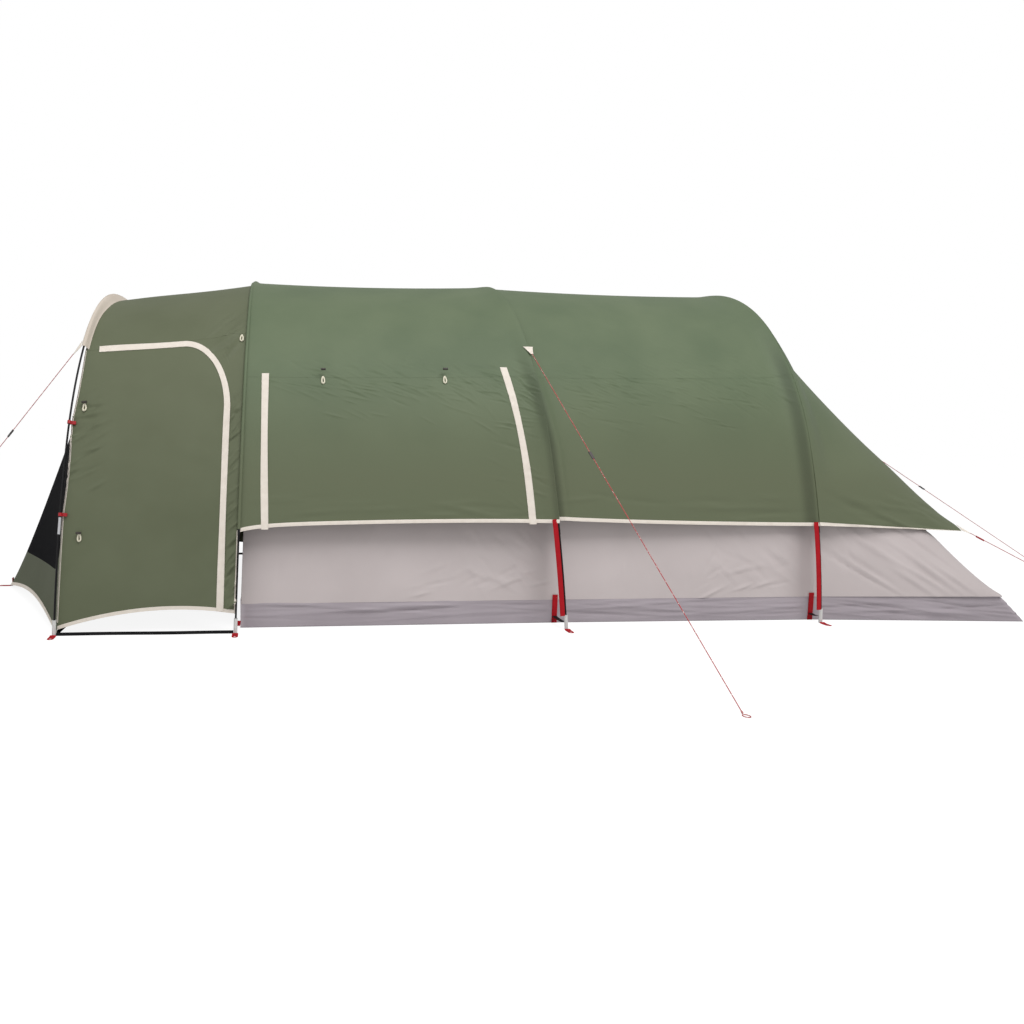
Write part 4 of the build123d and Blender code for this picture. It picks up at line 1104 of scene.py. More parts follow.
@dataclass
class Porch:
    """The porch: roof, sides with doors, visor, hem and the closed bow in front."""

    setback: float = 0.014  # roof edge behind the porch hoop
    insets: Pair = (0.006, 0.0087)  # inside the porch hoop and the front hoop
    seam_slope: float = math.radians(40.0)
    seam_drop: float = 0.005  # of the sides' upper edge below that slope
    hinge: float = FRONT_HOOP.station - 0.720  # place of the doors' hinge edge
    zip: Pair = (0.078, 0.038)  # the zip edge in front of the front hoop, at the ground and at its top
    door_top: Pair = (1.385, 1.425)  # heights at the hinge edge and at the zip edge
    door_radius: float = 0.220
    door_drop: float = 0.330  # height of the round corner
    hem: Triple = (0.024, 0.112, 0.098)  # heights at the porch hoop, half way and at the front hoop
    edge: float = 0.007  # cloth edge behind the porch hoop where it is held
    scallop: Triple = (0.00135, 0.009, 0.009)  # how far the edge draws back between what holds it
    clips: Pair = (0.573, 1.008)
    tape_foot: float = 0.06  # height where the tape on that edge starts
    rear_tape: Pair = (0.10, 0.50)  # heights of the tape by the front hoop
    visor_foot: float = 1.390
    visor_front: float = 0.012
    visor_rear: float = 0.024
    visor_lift: float = 0.0105  # over the middle of the pole
    visor_flat: float = 0.004  # how far behind that it starts to go down
    visor_crown: float = 0.080  # how much further the visor reaches back over the crown
    bow_station: float = -2.829
    bow_hollow: float = 0.82
    bow_hem: float = 0.008
    bow_inset: float = 0.0093  # of its edges inside the porch hoop
    bow_arch: float = 0.018  # slope by which its hem rises between the peg and the hoop
    net_dip: float = 0.022  # slope by which the net's lower edge dips at the ridge
    net_corner: float = 0.05  # slope by which it rises at the hoop
    bow_ridge: float = 0.05  # softness of the ridge, as a share of the half width
    net_bottom: float = 0.300
    net_top: float = 1.350
    bow_top: float = math.radians(80.0)

    def __post_init__(self) -> None:
        """Lays the span of cloth between the porch hoop and the front hoop."""
        short, long = (0.02, 0.045), (0.03, 0.08)
        fine, wide, deep = (0.005, 0.008), (0.03, 0.06), (0.003, 0.008)
        self.span = Span(
            HoopEdge(PORCH_HOOP, -self.insets[0], self.setback),
            HoopEdge(FRONT_HOOP, -self.insets[1]),
            dip=0.012,
            creases=(
                Ridge(PORCH_HOOP.x_at, -0.010, 0.16, 0.16),
                Peak(PORCH_HOOP.station + PORCH_HOOP.lean, -0.012, 0.25, 0.4),
                Creases(21, 30, (-1.412, -1.372), (0.14, 0.62), (38, 58), short, fine, (0.004, 0.009)),
                Creases(25, 22, (-1.400, -1.368), (0.62, 1.20), (34, 58), short, fine, (0.003, 0.007)),
                Creases(22, 22, (-1.50, -1.36), (1.36, 1.60), (24, 50), long, (0.006, 0.010), deep),
                Creases(23, 28, (-2.18, -2.02), (0.70, 1.22), (8, 40), long, (0.005, 0.009), deep),
                Creases(24, 14, (-2.1, -1.5), (0.2, 1.3), (-60, 60), (0.08, 0.2), wide, (0.001, 0.002)),
            ),
        )
        corner_z = self.door_top[1] - self.door_drop
        # Middle of the door's round corner.
        self.corner = (self.zip_line(corner_z) - self.door_radius, corner_z)

    def edge_line(self, z: Number) -> Number:
        """Place of the cloth's front edge: it draws back in an arc between the things that hold it."""
        held = (0.05, *self.clips, self.visor_foot)
        back = np.zeros_like(z)
        for low, high, depth in zip(held, held[1:], self.scallop):
            back = back + depth * np.sin(math.pi * np.clip((z - low) / (high - low), 0, 1))
        return PORCH_HOOP.x_at(z, self.edge) + back

    def zip_line(self, z: Number) -> Number:
        """Place of the door's zip edge at a height."""
        return FRONT_HOOP.station - blend(*self.zip, z / self.door_top[1])

    def door_top_line(self, x: Array) -> Array:
        """Height of the door's top edge: a straight line, then a quarter ellipse down to the zip edge."""
        share = np.clip((x - self.hinge) / (self.corner[0] - self.hinge), 0, 1)
        over = np.clip(x - self.corner[0], 0, self.door_radius)
        drop = self.door_drop * (1 - np.sqrt(1 - (over / self.door_radius) ** 2))
        return blend(*self.door_top, share) - drop

    def hem_line(self, x: Number) -> Number:
        """Height of the hem: the parabola through its ends and its middle."""
        share = (x - PORCH_HOOP.station) / (FRONT_HOOP.station - PORCH_HOOP.station)
        low, middle, high = self.hem
        bend = 2 * (low + high) - 4 * middle
        return low + (high - low - bend) * share + bend * share**2

    def roof_line(self, x: Array) -> Array:
        """Height of the seam to the roof, which is at one slope of both hoops."""
        low, high = (hoop.place(self.seam_slope, 0.0, 1.0)[2] for hoop in (PORCH_HOOP, FRONT_HOOP))
        first = PORCH_HOOP.place(self.seam_slope, 0.0, 1.0, self.setback)[0]
        last = FRONT_HOOP.place(self.seam_slope, 0.0, 1.0)[0]
        return low - self.seam_drop + (high - low) * ((x - first) / (last - first))

    def build(self) -> None:
        """Makes all pieces of the porch."""
        roof = self.span.over((self.seam_slope, self.seam_slope), 110, 171, SEAM_LAP, CROWD)
        make_sheet("porch_roof", [roof], PORCH_CLOTH, PORCH_POLES)
        tapes = [tape for side in Side for tape in self.build_side(side)]
        make_piece("porch_hem_tape_sewn", tapes, TRIM_TAPE, nodes=["porch_hem_tape"])
        self.build_visor()
        self.build_bow()

    def build_side(self, side: Side) -> list[Grid]:
        """Makes a side with its door and the door's flap, and returns the tape round the rest of it."""
        lines = (self.edge_line, lambda z: self.hinge + 0 * z, self.zip_line, FRONT_HOOP.x_at)
        levels = (self.hem_line, self.door_top_line, self.roof_line)
        x, z, column, row = wall_grid(lines, levels, (28, 64, 24), (200, 30))
        points = self.span.wall(x, z, side)
        inside = (column == 1)[None] & (row == 0)[:, None]
        body = f"{side.word}_door"
        make_sheet(f"porch_side_{side.word}", [Grid(points, keep=~inside)], PORCH_CLOTH, PORCH_POLES)
        make_sheet(f"door_{side.word}", [Grid(points, keep=inside)], PORCH_CLOTH, PORCH_POLES, body=body)
        zip_x = self.zip_line(0.1)
        trim = [self.flap(side), self.hem_tape(self.hinge, zip_x, side)]
        make_piece(f"door_trim_{side.word}_tape", trim, FLAP_CLOTH, body, [f"door_trim_{side.word}"])
        rear_z, rear_over = lattice((*self.rear_tape, 40), (-1, 0, 5))
        edge_z, edge_over = lattice((self.tape_foot, self.visor_foot - 0.01, 110), (0, 1, 4))
        return [
            self.hem_tape(self.edge_line(self.tape_foot), self.hinge, side),
            self.hem_tape(zip_x, FRONT_HOOP.station, side),
            Grid(self.span.wall(FRONT_HOOP.x_at(rear_z) + 0.010 * rear_over, rear_z, side, TAPE_LIFT)),
            Grid(self.span.wall(self.edge_line(edge_z) + 0.007 * edge_over - 0.001, edge_z, side, TAPE_LIFT)),
        ]

    def hem_tape(self, start: float, end: float, side: Side) -> Grid:
        """Hem tape between two places along the porch, in steps of about 12 mm."""
        return self.span.tape(self.hem_line, (start, end, max(4, int((end - start) / 0.012))), side)

    def flap(self, side: Side) -> Grid:
        """The storm flap: a strip carried along the door's top edge, round its corner and down."""
        corner_x, corner_z = self.corner
        top_x = np.linspace(self.hinge + 0.02, corner_x, 40)
        turn = np.linspace(LEVEL, 0, 32)[1:]
        down_z = np.linspace(corner_z, self.hem_line(-1.45) + 0.002, 96)[1:]
        x = np.concatenate([top_x, corner_x + self.door_radius * np.cos(turn), self.zip_line(down_z)])
        z = np.concatenate([self.door_top_line(top_x), corner_z + self.door_drop * np.sin(turn), down_z])
        way = np.stack([np.gradient(x), np.gradient(z)])
        way /= np.linalg.norm(way, axis=0)
        length = np.cumsum(np.hypot(np.gradient(x), np.gradient(z)))
        place = np.linspace(0, 1, 7)[:, None]
        wide = 0.86 + 0.10 * np.clip(length - 0.8, 0, 1) + 0.05 * np.sin(8 * length)
        across = (place - 0.5) * FLAP * wide
        curl = TAPE_LIFT + 0.0012 + 0.0030 * (0.5 + 0.5 * np.sin(13 * length + 1)) * place
        return Grid(self.span.wall(x - way[1] * across, z + way[0] * across, side, curl))

    def build_visor(self) -> None:
        """Makes the beige sleeve over the porch hoop's top: round over the pole, then down to the roof."""
        turn, place = lattice((-1, 1, 161), (0, 1, 19))
        slope = LEVEL - np.abs(turn) * (LEVEL - PORCH_HOOP.slope_at(self.visor_foot))
        rear = self.visor_rear + self.visor_crown * (1 - turn**2) ** 5
        shift = -self.visor_front + (self.visor_front + rear) * place
        drop = np.clip((shift - self.visor_flat) / (rear - self.visor_flat), 0, 1)
        drop = drop**2 * (3 - 2 * drop)
        seat = -0.0135 - 0.012 * bell(PORCH_HOOP.section(slope)[0], 0.4)
        pole = self.visor_lift + 0.004 * (1 - turn**2)
        lift = blend(pole, seat, drop) - 0.010 * bell(place, 0.08)
        lift = lift + 0.0012 * np.sin(70 * turn) * place * (1 - place)
        grid = Grid(PORCH_HOOP.place(slope, lift, np.sign(turn), shift))
        make_sheet("porch_visor", [grid], VISOR_CLOTH, ["porch_pole"])

    def bow(self, slope: Array, place: Array, lift: Number = 0.0) -> Grid:
        """The bow's surface: at each slope of the porch hoop, two walls that meet in a soft ridge.

        Args:
            slope: slope of the porch hoop, which sets height and width.
            place: -1 at the left wall, 0 on the ridge, 1 at the right wall.
            lift: distance in front of the cloth.

        Returns:
            The surface.
        """
        corner = PORCH_HOOP.place(slope, -self.bow_inset, 1.0, self.setback)
        wall = self.edge_line(corner[..., 2]) + 0.003
        share = np.clip(corner[..., 2] / PORCH_HOOP.height, 0, 1)
        ridge = np.minimum(blend(self.bow_station, corner[..., 0], share**self.bow_hollow), wall)
        soft = self.bow_ridge
        reach = (np.sqrt(place**2 + soft**2) - soft) / (math.hypot(1, soft) - soft)
        sink = 0.012 * np.sin(math.pi * np.abs(place)) * (wall - ridge) / 0.6
        x = blend(ridge, wall, reach) + sink - lift
        return Grid(join(x, corner[..., 1] * place, corner[..., 2]), outside=(-1, 0, 0))

    def build_bow(self) -> None:
        """Makes the skirt, the net and the top of the bow, and the tape along its hem.

        The hem rises between the peg and the foot of the hoop. The net's lower edge dips towards
        the ridge, and rises in a round corner by the hoop.
        """
        heights = (self.bow_hem, self.net_bottom, self.net_top)
        stops = [PORCH_HOOP.slope_at(height) for height in heights] + [self.bow_top]
        for number, (node, finish, steps) in enumerate(
            (("bow_skirt", SHADED_SKIRT_CLOTH, 28), ("bow_mesh", NET, 60), ("bow_top", SHADED_SKIRT_CLOTH, 40))
        ):
            place, up = lattice((-1, 1, 121), (0, 1, steps))
            off = np.abs(place)
            arch = self.bow_arch * 4 * off * (1 - off)
            net_edge = self.net_corner * np.clip((off - 0.86) / 0.14, 0, 1) ** 2 - self.net_dip * (1 - off)
            low = stops[number] + (arch, net_edge, 0.0)[number]
            high = stops[number + 1] + (net_edge, 0.0, 0.0)[number]
            make_sheet(node, [self.bow(blend(low, high, up), place)], finish, ["porch_pole", "peg_loops"])
        place, height = lattice((-1, 1, 121), (-0.003, HEM_TAPE, 5))
        arch = self.bow_arch * 4 * np.abs(place) * (1 - np.abs(place))
        tape = self.bow(stops[0] + arch + height / 3.6, place, TAPE_LIFT)
        make_piece("bow_hem_tape", [tape], TRIM_TAPE)


@dataclass
class InnerTent:
    """The sleeping cabin that hangs inside the hoops, with its tub floor."""

    fly: Fly
    gaps: Triple = (0.105, 0.135, 0.065)  # inside the front, middle and rear hoops
    setback: float = 0.020
    tub_height: float = 0.140
    tub_run: float = 0.140
    foot_lap: float = 0.010  # of the walls below the tub's edge
    floor_end: float = 2.891
    end_half_width: float = 1.150
    rear_rise: float = 0.050
    rear_fullness: float = 0.4
    door_half: float = 0.420
    door_bottom: float = 0.190
    door_top: float = 1.480
    wall_middle: float = 0.80  # height that the front wall's rays start from

    def __post_init__(self) -> None:
        """Lays the spans of the cabin's cloth."""
        edges = zip(BAY_HOOPS, self.gaps, (self.setback, 0.0, 0.0))
        front, middle, rear = (HoopEdge(hoop, -gap, shift) for hoop, gap, shift in edges)
        fan = dict(length=(0.04, 0.09), width=(0.006, 0.011), height=(0.003, 0.007))
        upright = dict(turn=(50, 110), length=(0.03, 0.09), width=(0.008, 0.014), height=(0.001, 0.003))
        self.foot = REAR_HOOP.slope_at(self.tub_height - self.foot_lap)
        self.front, self.back = (
            Span(
                first,
                last,
                dip=0.015,
                held=self.foot,
                creases=(
                    Creases(seed, 24, by_pole, (0.22, 0.46), (-62, -26), **fan),
                    Creases(seed + 1, 14, along, (0.2, 0.5), **upright),
                    Creases(seed + 2, 12, low, (0.15, 0.30), (5, 35), **fan),
                ),
            )
            for first, last, seed, by_pole, along, low in (
                (front, middle, 31, (-0.16, 0.20), (-1.2, -0.2), (-0.5, 0.25)),
                (middle, rear, 34, (1.16, 1.62), (0.4, 1.3), (1.0, 1.6)),
            )
        )
        end, half = self.floor_end - self.tub_run, self.end_half_width - 0.003
        edge = LowEdge(REAR_HOOP, end, half, self.tub_height, self.rear_rise, self.foot, self.rear_fullness)
        creases = (
            Ridge(lambda z: 2.15 + 0 * z, -0.050, 0.45, 0.45, foot=0.66),
            Creases(
                37, 16, (1.85, 2.50), (0.22, 0.52), (-36, -26), (0.12, 0.30), (0.009, 0.015), (0.005, 0.012)
            ),
            Creases(
                38, 10, (1.76, 1.95), (0.28, 0.50), (-65, -42), (0.05, 0.10), (0.006, 0.011), (0.003, 0.008)
            ),
        )
        self.tail = Span(rear, edge, creases=creases)

    def half_width(self, x: Number) -> Number:
        """Half of the tub's width at a place along the tent."""
        stations = (FRONT_HOOP.station + self.setback, MIDDLE_HOOP.station, REAR_HOOP.station, self.floor_end)
        halves = [hoop.half_width - gap for hoop, gap in zip(BAY_HOOPS, self.gaps)] + [self.end_half_width]
        return np.interp(x, stations, halves)

    def painted_fold_shade(self, points: Array) -> Array:
        """Painted shade on the walls in front of the middle and rear hoops, for the shade of folds and
        doubled cloth there.
        """
        bands = [Ridge(lambda z, h=h: h.station - 0.075 + 0 * z, 0.13, 0.07, 0.03) for h in BAY_HOOPS[1:]]
        return sum(band.lift(points) for band in bands)

    def build(self) -> None:
        """Makes all pieces of the cabin."""
        panels = tuple(zip((self.front, self.back), self.fly.slopes, self.fly.slopes[1:], (150, 130)))
        for side in Side:
            walls = []
            for span, first, last, steps in panels:
                share, up = lattice((0, 1, steps), (0, 1, 90))
                slope = blend(self.foot, blend(first, last, share), up**2)
                points = span.points(share, slope, side.value)
                walls.append(Grid(points, shade=self.painted_fold_shade(points)))
            make_sheet(f"inner_wall_{side.word}", walls, INNER_CLOTH, BAY_POLES)
        roofs = [span.over((first, last), 50, 81) for span, first, last, _ in panels]
        make_sheet("inner_roof", roofs, INNER_CLOTH, BAY_POLES, turned=True)
        tail = self.tail.over((self.foot, self.foot), 100, 261, crowd=CROWD)
        seam = tail.points[-1:].copy()
        seam[..., 2] = self.tub_height - 0.002
        tail.points = np.concatenate([tail.points, seam])
        make_sheet("inner_rear", [tail], INNER_CLOTH, ["rear_pole", "tub_floor"])
        self.build_tub()
        self.build_front_wall()

    def build_tub(self) -> None:
        """Makes the tub: a flat sheet turned up at its edges, its rear edge leaning in.

        Past an edge of the floor the surface stops moving outwards and climbs instead, so at a
        corner it climbs along one upright line. Its folds stop where the red tabs lie on it.
        """
        wall = np.linspace(0, 1, 26)
        along = np.concatenate([-wall[:0:-1], np.linspace(0, 1, 150), 1 + wall[1:]])
        across = np.concatenate([-1 - wall[:0:-1], np.linspace(-1, 1, 13), 1 + wall[1:]])
        a, c = np.meshgrid(along, across, indexing="ij")
        climb = np.clip(np.maximum(np.maximum(-a, a - 1), np.abs(c) - 1), 0, 1)
        start = FRONT_HOOP.station + self.setback
        x = blend(start, self.floor_end - self.tub_run * climb, np.clip(a, 0, 1))
        fold = Creases(
            41, 90, (-1.3, 2.7), (0.02, 0.12), (-5, 5), (0.12, 0.40), (0.005, 0.009), (0.002, 0.005)
        )
        pull = Creases(
            42, 16, (1.95, 2.75), (0.02, 0.11), (-9, -3), (0.15, 0.35), (0.006, 0.010), (0.004, 0.009)
        )
        where = join(x, 0.0, self.tub_height * climb)
        relief = (fold.lift(where) + pull.lift(where)) * np.sin(math.pi * climb)
        for hoop in BAY_HOOPS[1:]:
            relief = relief * (1 - bell(x - hoop.station + 0.012, 0.06, 4))
        y = np.clip(c, -1, 1) * (self.half_width(x) - 0.006 * climb**4 + relief)
        z = 0.0015 + (self.tub_height - 0.0005) * climb
        grid = Grid(join(x, y, z), outside=(0, 0, -1))
        make_sheet("tub_floor", [grid], FLOOR_CLOTH, ["pole_tips"])

    def build_front_wall(self) -> None:
        """Makes the front wall round its doorway, and the door in it.

        The wall is a ring: each ray from its middle runs from the doorway's outline to the hoop's.
        """
        shift = self.setback - 0.0018
        ray = np.linspace(-math.pi, math.pi, 181)[:-1]
        slope = np.linspace(FRONT_HOOP.slope_at(self.tub_height), LEVEL, 200)
        across, up = FRONT_HOOP.section(slope, -self.gaps[0])
        floor = np.linspace(across[0], -across[0], 80)[1:-1]
        shoulder = self.door_top - self.door_half
        arch = np.linspace(math.pi, 0, 80)
        rise = np.linspace(self.door_bottom, shoulder, 60)
        foot = np.linspace(self.door_half, -self.door_half, 60)[1:-1]
        doorway = (
            (0 * rise - self.door_half, self.door_half * np.cos(arch), 0 * rise + self.door_half, foot),
            (rise, shoulder + self.door_half * np.sin(arch), rise[::-1], 0 * foot + self.door_bottom),
        )
        outline = ((-across, across[::-1], floor), (up, up[::-1], 0 * floor + up[0]))
        rings = []
        for sideways, heights in (doorway, outline):
            sideways, above = np.concatenate(sideways), np.concatenate(heights) - self.wall_middle
            turn = np.arctan2(above, sideways)
            order = np.argsort(turn)
            rings.append(np.interp(ray, turn[order], np.hypot(sideways, above)[order], period=2 * math.pi))
        share = np.linspace(0, 1, 16)[:, None]
        reach = blend(*rings, share)
        ripple = 0.004 * np.sin(9 * ray) * np.sin(math.pi * share)
        points = FRONT_HOOP.stand(reach * np.cos(ray), self.wall_middle + reach * np.sin(ray), shift + ripple)
        wall = Grid(points, wrap=True, outside=(-1, 0, 0))
        piece = make_piece(
            "inner_front_wall_cloth", [wall], INNER_CLOTH, nodes=["inner_front_wall"], thickness=CLOTH
        )
        wall.area()
        over, up = lattice((-1, 1, 41), (0, 1, 60))
        height = blend(self.door_bottom, self.door_top, up)
        past = np.clip(height - shoulder, 0, self.door_half)
        half = np.sqrt(np.maximum(self.door_half**2 - past**2, 1e-8))
        wave = 0.003 * np.sin(7 * height) * np.cos(LEVEL * over)
        door = Grid(FRONT_HOOP.stand(half * over, height, shift + wave), outside=(-1, 0, 0))
        make_sheet("inner_door", [door], INNER_CLOTH, ["front_pole"], "cabin_door")


@dataclass
class Webbing:
    """Straps, tabs and peg loops of red and black webbing."""

    fly: Fly
    inner: InnerTent
    tab_width: float = 0.028
    tab_height: float = 0.150
    tab_past: float = 0.002
    loop_length: float = 0.062
    loop_width: float = 0.030
    hole: float = 0.006
    strap_lift: float = 0.0150  # outside the middle of the poles
    strap_overlap: float = 0.018  # above the hem
    ground_ends: Pair = (0.011, 0.0095)  # of the ground straps, clear of the porch and front hoops
    edge_width: float = 0.0160  # of the ground straps that stand on edge
    edge_height: float = 0.0085  # of their middle
    flat_height: float = 0.0019  # of the flat one
    bow_foot: float = -2.8070  # where the bow's loop starts
    bow_end: float = -2.891  # where it ends
    riser: Pair = (0.002, 0.052)  # heights of the strap that holds it

    def build(self) -> None:
        """Makes all straps."""
        self.build_tension_straps()
        self.build_floor_tabs()
        self.build_foot_straps((FRONT_HOOP,), "front_foot_straps", RED_WEB, 0.010, 0.0005)
        tab_middle = self.tab_past - self.tab_width / 2
        self.build_foot_straps(BAY_HOOPS[1:], "side_foot_straps", BLACK_WEB, tab_middle, 0.0028)
        self.build_ground_straps()
        self.build_peg_loops()

    def build_tension_straps(self) -> None:
        """Makes the red straps from the fly's hem down the middle and rear legs."""
        grids = []
        for hoop, hem in zip(BAY_HOOPS[1:], self.fly.hems[1:]):
            low, high = hoop.slope_at(TIP_LENGTH), hoop.slope_at(hem + self.strap_overlap)
            slope, over = lattice((low, high, 40), (0, 1, 6))
            shift = -TIP_RADIUS - SEAT - STRAP * over
            lift = self.strap_lift + 0.001 * np.sin(math.pi * over)
            grids += [Grid(hoop.place(slope, lift, side.value, shift)) for side in Side]
        make_piece("tension_straps_webbing", grids, RED_WEB, nodes=["tension_straps"])

    def build_floor_tabs(self) -> None:
        """Makes the red tabs on the tub's wall in front of the middle and rear hoops."""
        grids = []
        for hoop in BAY_HOOPS[1:]:
            end = hoop.station + self.tab_past
            z, x = lattice((0.001, self.tab_height, 24), (end - self.tab_width, end, 6))
            y = self.inner.half_width(x) + 0.0020 + 0.0008 * np.sin(20 * z)
            grids += [Grid(join(x, side.value * y, z)) for side in Side]
        make_piece("floor_tabs_webbing", grids, RED_WEB, nodes=["floor_tabs"])

    def build_foot_straps(
        self, hoops: Sequence[Hoop], node: str, finish: Finish, behind: float, gap: float
    ) -> None:
        """Makes the short straps between the tub and the pole tips, with a slack dip in each.

        Args:
            hoops: the hoops that have them.
            node: the node that they stand for.
            finish: their material.
            behind: place of a strap's middle behind its hoop.
            gap: distance of its inner end from the tub.
        """
        grids = []
        for hoop in hoops:
            middle = hoop.station + behind
            inside = np.max(self.inner.half_width(np.array([middle - STRAP / 2, middle + STRAP / 2])))
            reach = np.linspace(inside + gap, hoop.half_width - TIP_RADIUS - SEAT, 16)
            height = TIP_LENGTH / 2 - 0.003 * np.sin(np.linspace(0, math.pi, 16))
            for side in Side:
                grids.append(ribbon(join(middle, side.value * reach, height), (1.0, 0.0, 0.0), STRAP))
                grids[-1].outside = (0, 0, 1)
        make_piece(f"{node}_webbing", grids, finish, nodes=[node])

    def build_ground_straps(self) -> None:
        """Makes the porch's ground straps: one on edge along each side and one flat across."""
        first, last = PORCH_HOOP.station + self.ground_ends[0], FRONT_HOOP.station - self.ground_ends[1]
        x = np.linspace(first, last, 70)
        sway = 0.002 * np.sin(12 * x)
        grids = []
        for side in Side:
            path = join(x, side.value * PORCH_HOOP.half_width + sway, self.edge_height)
            grids.append(ribbon(path, (0.0, 0.0, 1.0), self.edge_width, 6))
        make_piece("porch_side_straps_webbing", grids, BLACK_WEB, nodes=["porch_side_straps"])
        y = np.linspace(-1, 1, 120) * (PORCH_HOOP.half_width - TIP_RADIUS - SEAT)
        grid = ribbon(join(PORCH_HOOP.station, y, self.flat_height), (1.0, 0.0, 0.0), STRAP, 6)
        grid.outside = (0, 0, 1)
        make_piece("porch_cross_strap_webbing", [grid], BLACK_WEB, nodes=["porch_cross_strap"])

    def loop(self, start: Pair, way: float, length: float) -> Grid:
        """A peg loop flat on the ground: a ring round the peg's hole and a neck back to its start.

        The tab's outline is a rectangle that ends in a half circle. Rays from the hole's middle run
        from the hole to that outline.

        Args:
            start: where it starts on the ground.
            way: direction in which it lies.
            length: its length.

        Returns:
            The loop's surface.
        """
        half = self.loop_width / 2
        ray = np.linspace(0, 2 * math.pi, 64, endpoint=False)
        forward, sideways = np.cos(ray), np.sin(ray)
        centre = length - half
        to_side = half / np.maximum(np.abs(sideways), 1e-6)
        to_back = centre / np.maximum(-forward, 1e-6)
        reach = np.where(forward >= 0, half, np.minimum(to_side, to_back))
        radius = blend(self.hole, reach, np.linspace(0, 1, 8)[:, None])
        along, across = centre + radius * forward, radius * sideways
        height = 0.0021 + 0.004 * np.clip(1 - along / 0.02, 0, 1) ** 2
        x = start[0] + along * math.cos(way) - across * math.sin(way)
        y = start[1] + along * math.sin(way) + across * math.cos(way)
        return Grid(join(x, y, height), wrap=True, outside=(0, 0, 1))

    def build_peg_loops(self) -> None:
        """Makes the peg loops beside the pole tips and the one in front of the bow, with its riser."""
        grids = []
        for hoop in (PORCH_HOOP, *BAY_HOOPS):
            for side in Side:
                start = (hoop.station, side.value * (hoop.half_width + TIP_RADIUS + SEAT))
                grids.append(self.loop(start, side.value * LEVEL, self.loop_length))
        grids.append(self.loop((self.bow_foot, 0.0), math.pi, self.bow_foot - self.bow_end))
        over, up = lattice((-0.5, 0.5, 6), (*self.riser, 12))
        riser = join(self.bow_foot - self.riser[0], over * self.loop_width, up)
        grids.append(Grid(riser, outside=(-1, 0, 0)))
        make_piece("peg_loops_webbing", grids, RED_WEB, nodes=["peg_loops"])


@dataclass
class Guy:
    """A guy line: where its tab starts, the way the tab is sewn on and the peg that holds it."""

    name: str
    base: Array
    edge: Array
    peg: Array
    width: float = 0.054
    radius: float = 0.0018
    tab_length: float = 0.060
    tab_tip: float = 0.014  # width of the tab where the cord starts

    @property
    def out(self) -> Array:
        """Unit vector from the tab to the peg."""
        return unit(self.peg - self.base)

    def tab(self, mirrored: bool = False) -> Grid:
        """The tab: wide where it is sewn on, narrowing in a soft curve to where the cord starts."""
        edge = unit(self.edge)
        over, along = lattice((-0.5, 0.5, 9), (0, 1, 14))
        wide = blend(self.width, self.tab_tip, along**0.8)
        belly = 0.004 * np.sin(math.pi * along) * np.cos(math.pi * over)
        points = self.base + self.out * (along * self.tab_length)[..., None]
        points = points + edge * (over * wide)[..., None] + np.cross(edge, self.out) * belly[..., None]
        return Grid(points * np.array((1.0, -1.0, 1.0)) if mirrored else points)

    def cord(self) -> None:
        start = self.base + self.out * (self.tab_length + 0.001)
        length = float(np.linalg.norm(self.peg - start))
        near = 6 * 2 * self.radius / length
        route = [blend(start, self.peg, share) for share in (0.0, near, 1 - near, 1.0)]
        curve = bpy.data.curves.new(self.name, "CURVE")
        curve.dimensions = "3D"
        curve.bevel_depth = self.radius
        curve.bevel_resolution = 3
        curve.use_fill_caps = True
        spline = curve.splines.new("NURBS")
        spline.points.add(len(route) - 1)
        spline.points.foreach_set("co", np.concatenate([[*point, 1.0] for point in route]))
        spline.order_u = 3
        spline.use_endpoint_u = True
        piece = link_object(f"{self.name}_cord", curve)
        declare(piece, GUY_CORD, "tent", [self.name])
        log.info("%s: %.3f m", self.name, length)

    def end_loop(self) -> list[Grid]:
        """The loop that the peg goes through, lying on the ground, and the knot that closes it."""
        level = unit(self.out * (1.0, 1.0, 0.0))
        across = np.array([-level[1], level[0], 0.0])
        turn = np.linspace(0, 2 * math.pi, 41)[:, None]
        ring = self.peg + level * 0.0156 + level * (0.014 * np.cos(turn)) + across * (0.012 * np.sin(turn))
        ring[:, 2] = 0.0022
        knot = np.linspace(0, 1, 13)
        path = self.peg - self.out * (0.012 * (1 - knot))[:, None]
        thick = 0.0016 + 0.0022 * np.sin(math.pi * knot) ** 0.7
        return [tube(ring, self.radius, 10), tube(path, thick, 10)]


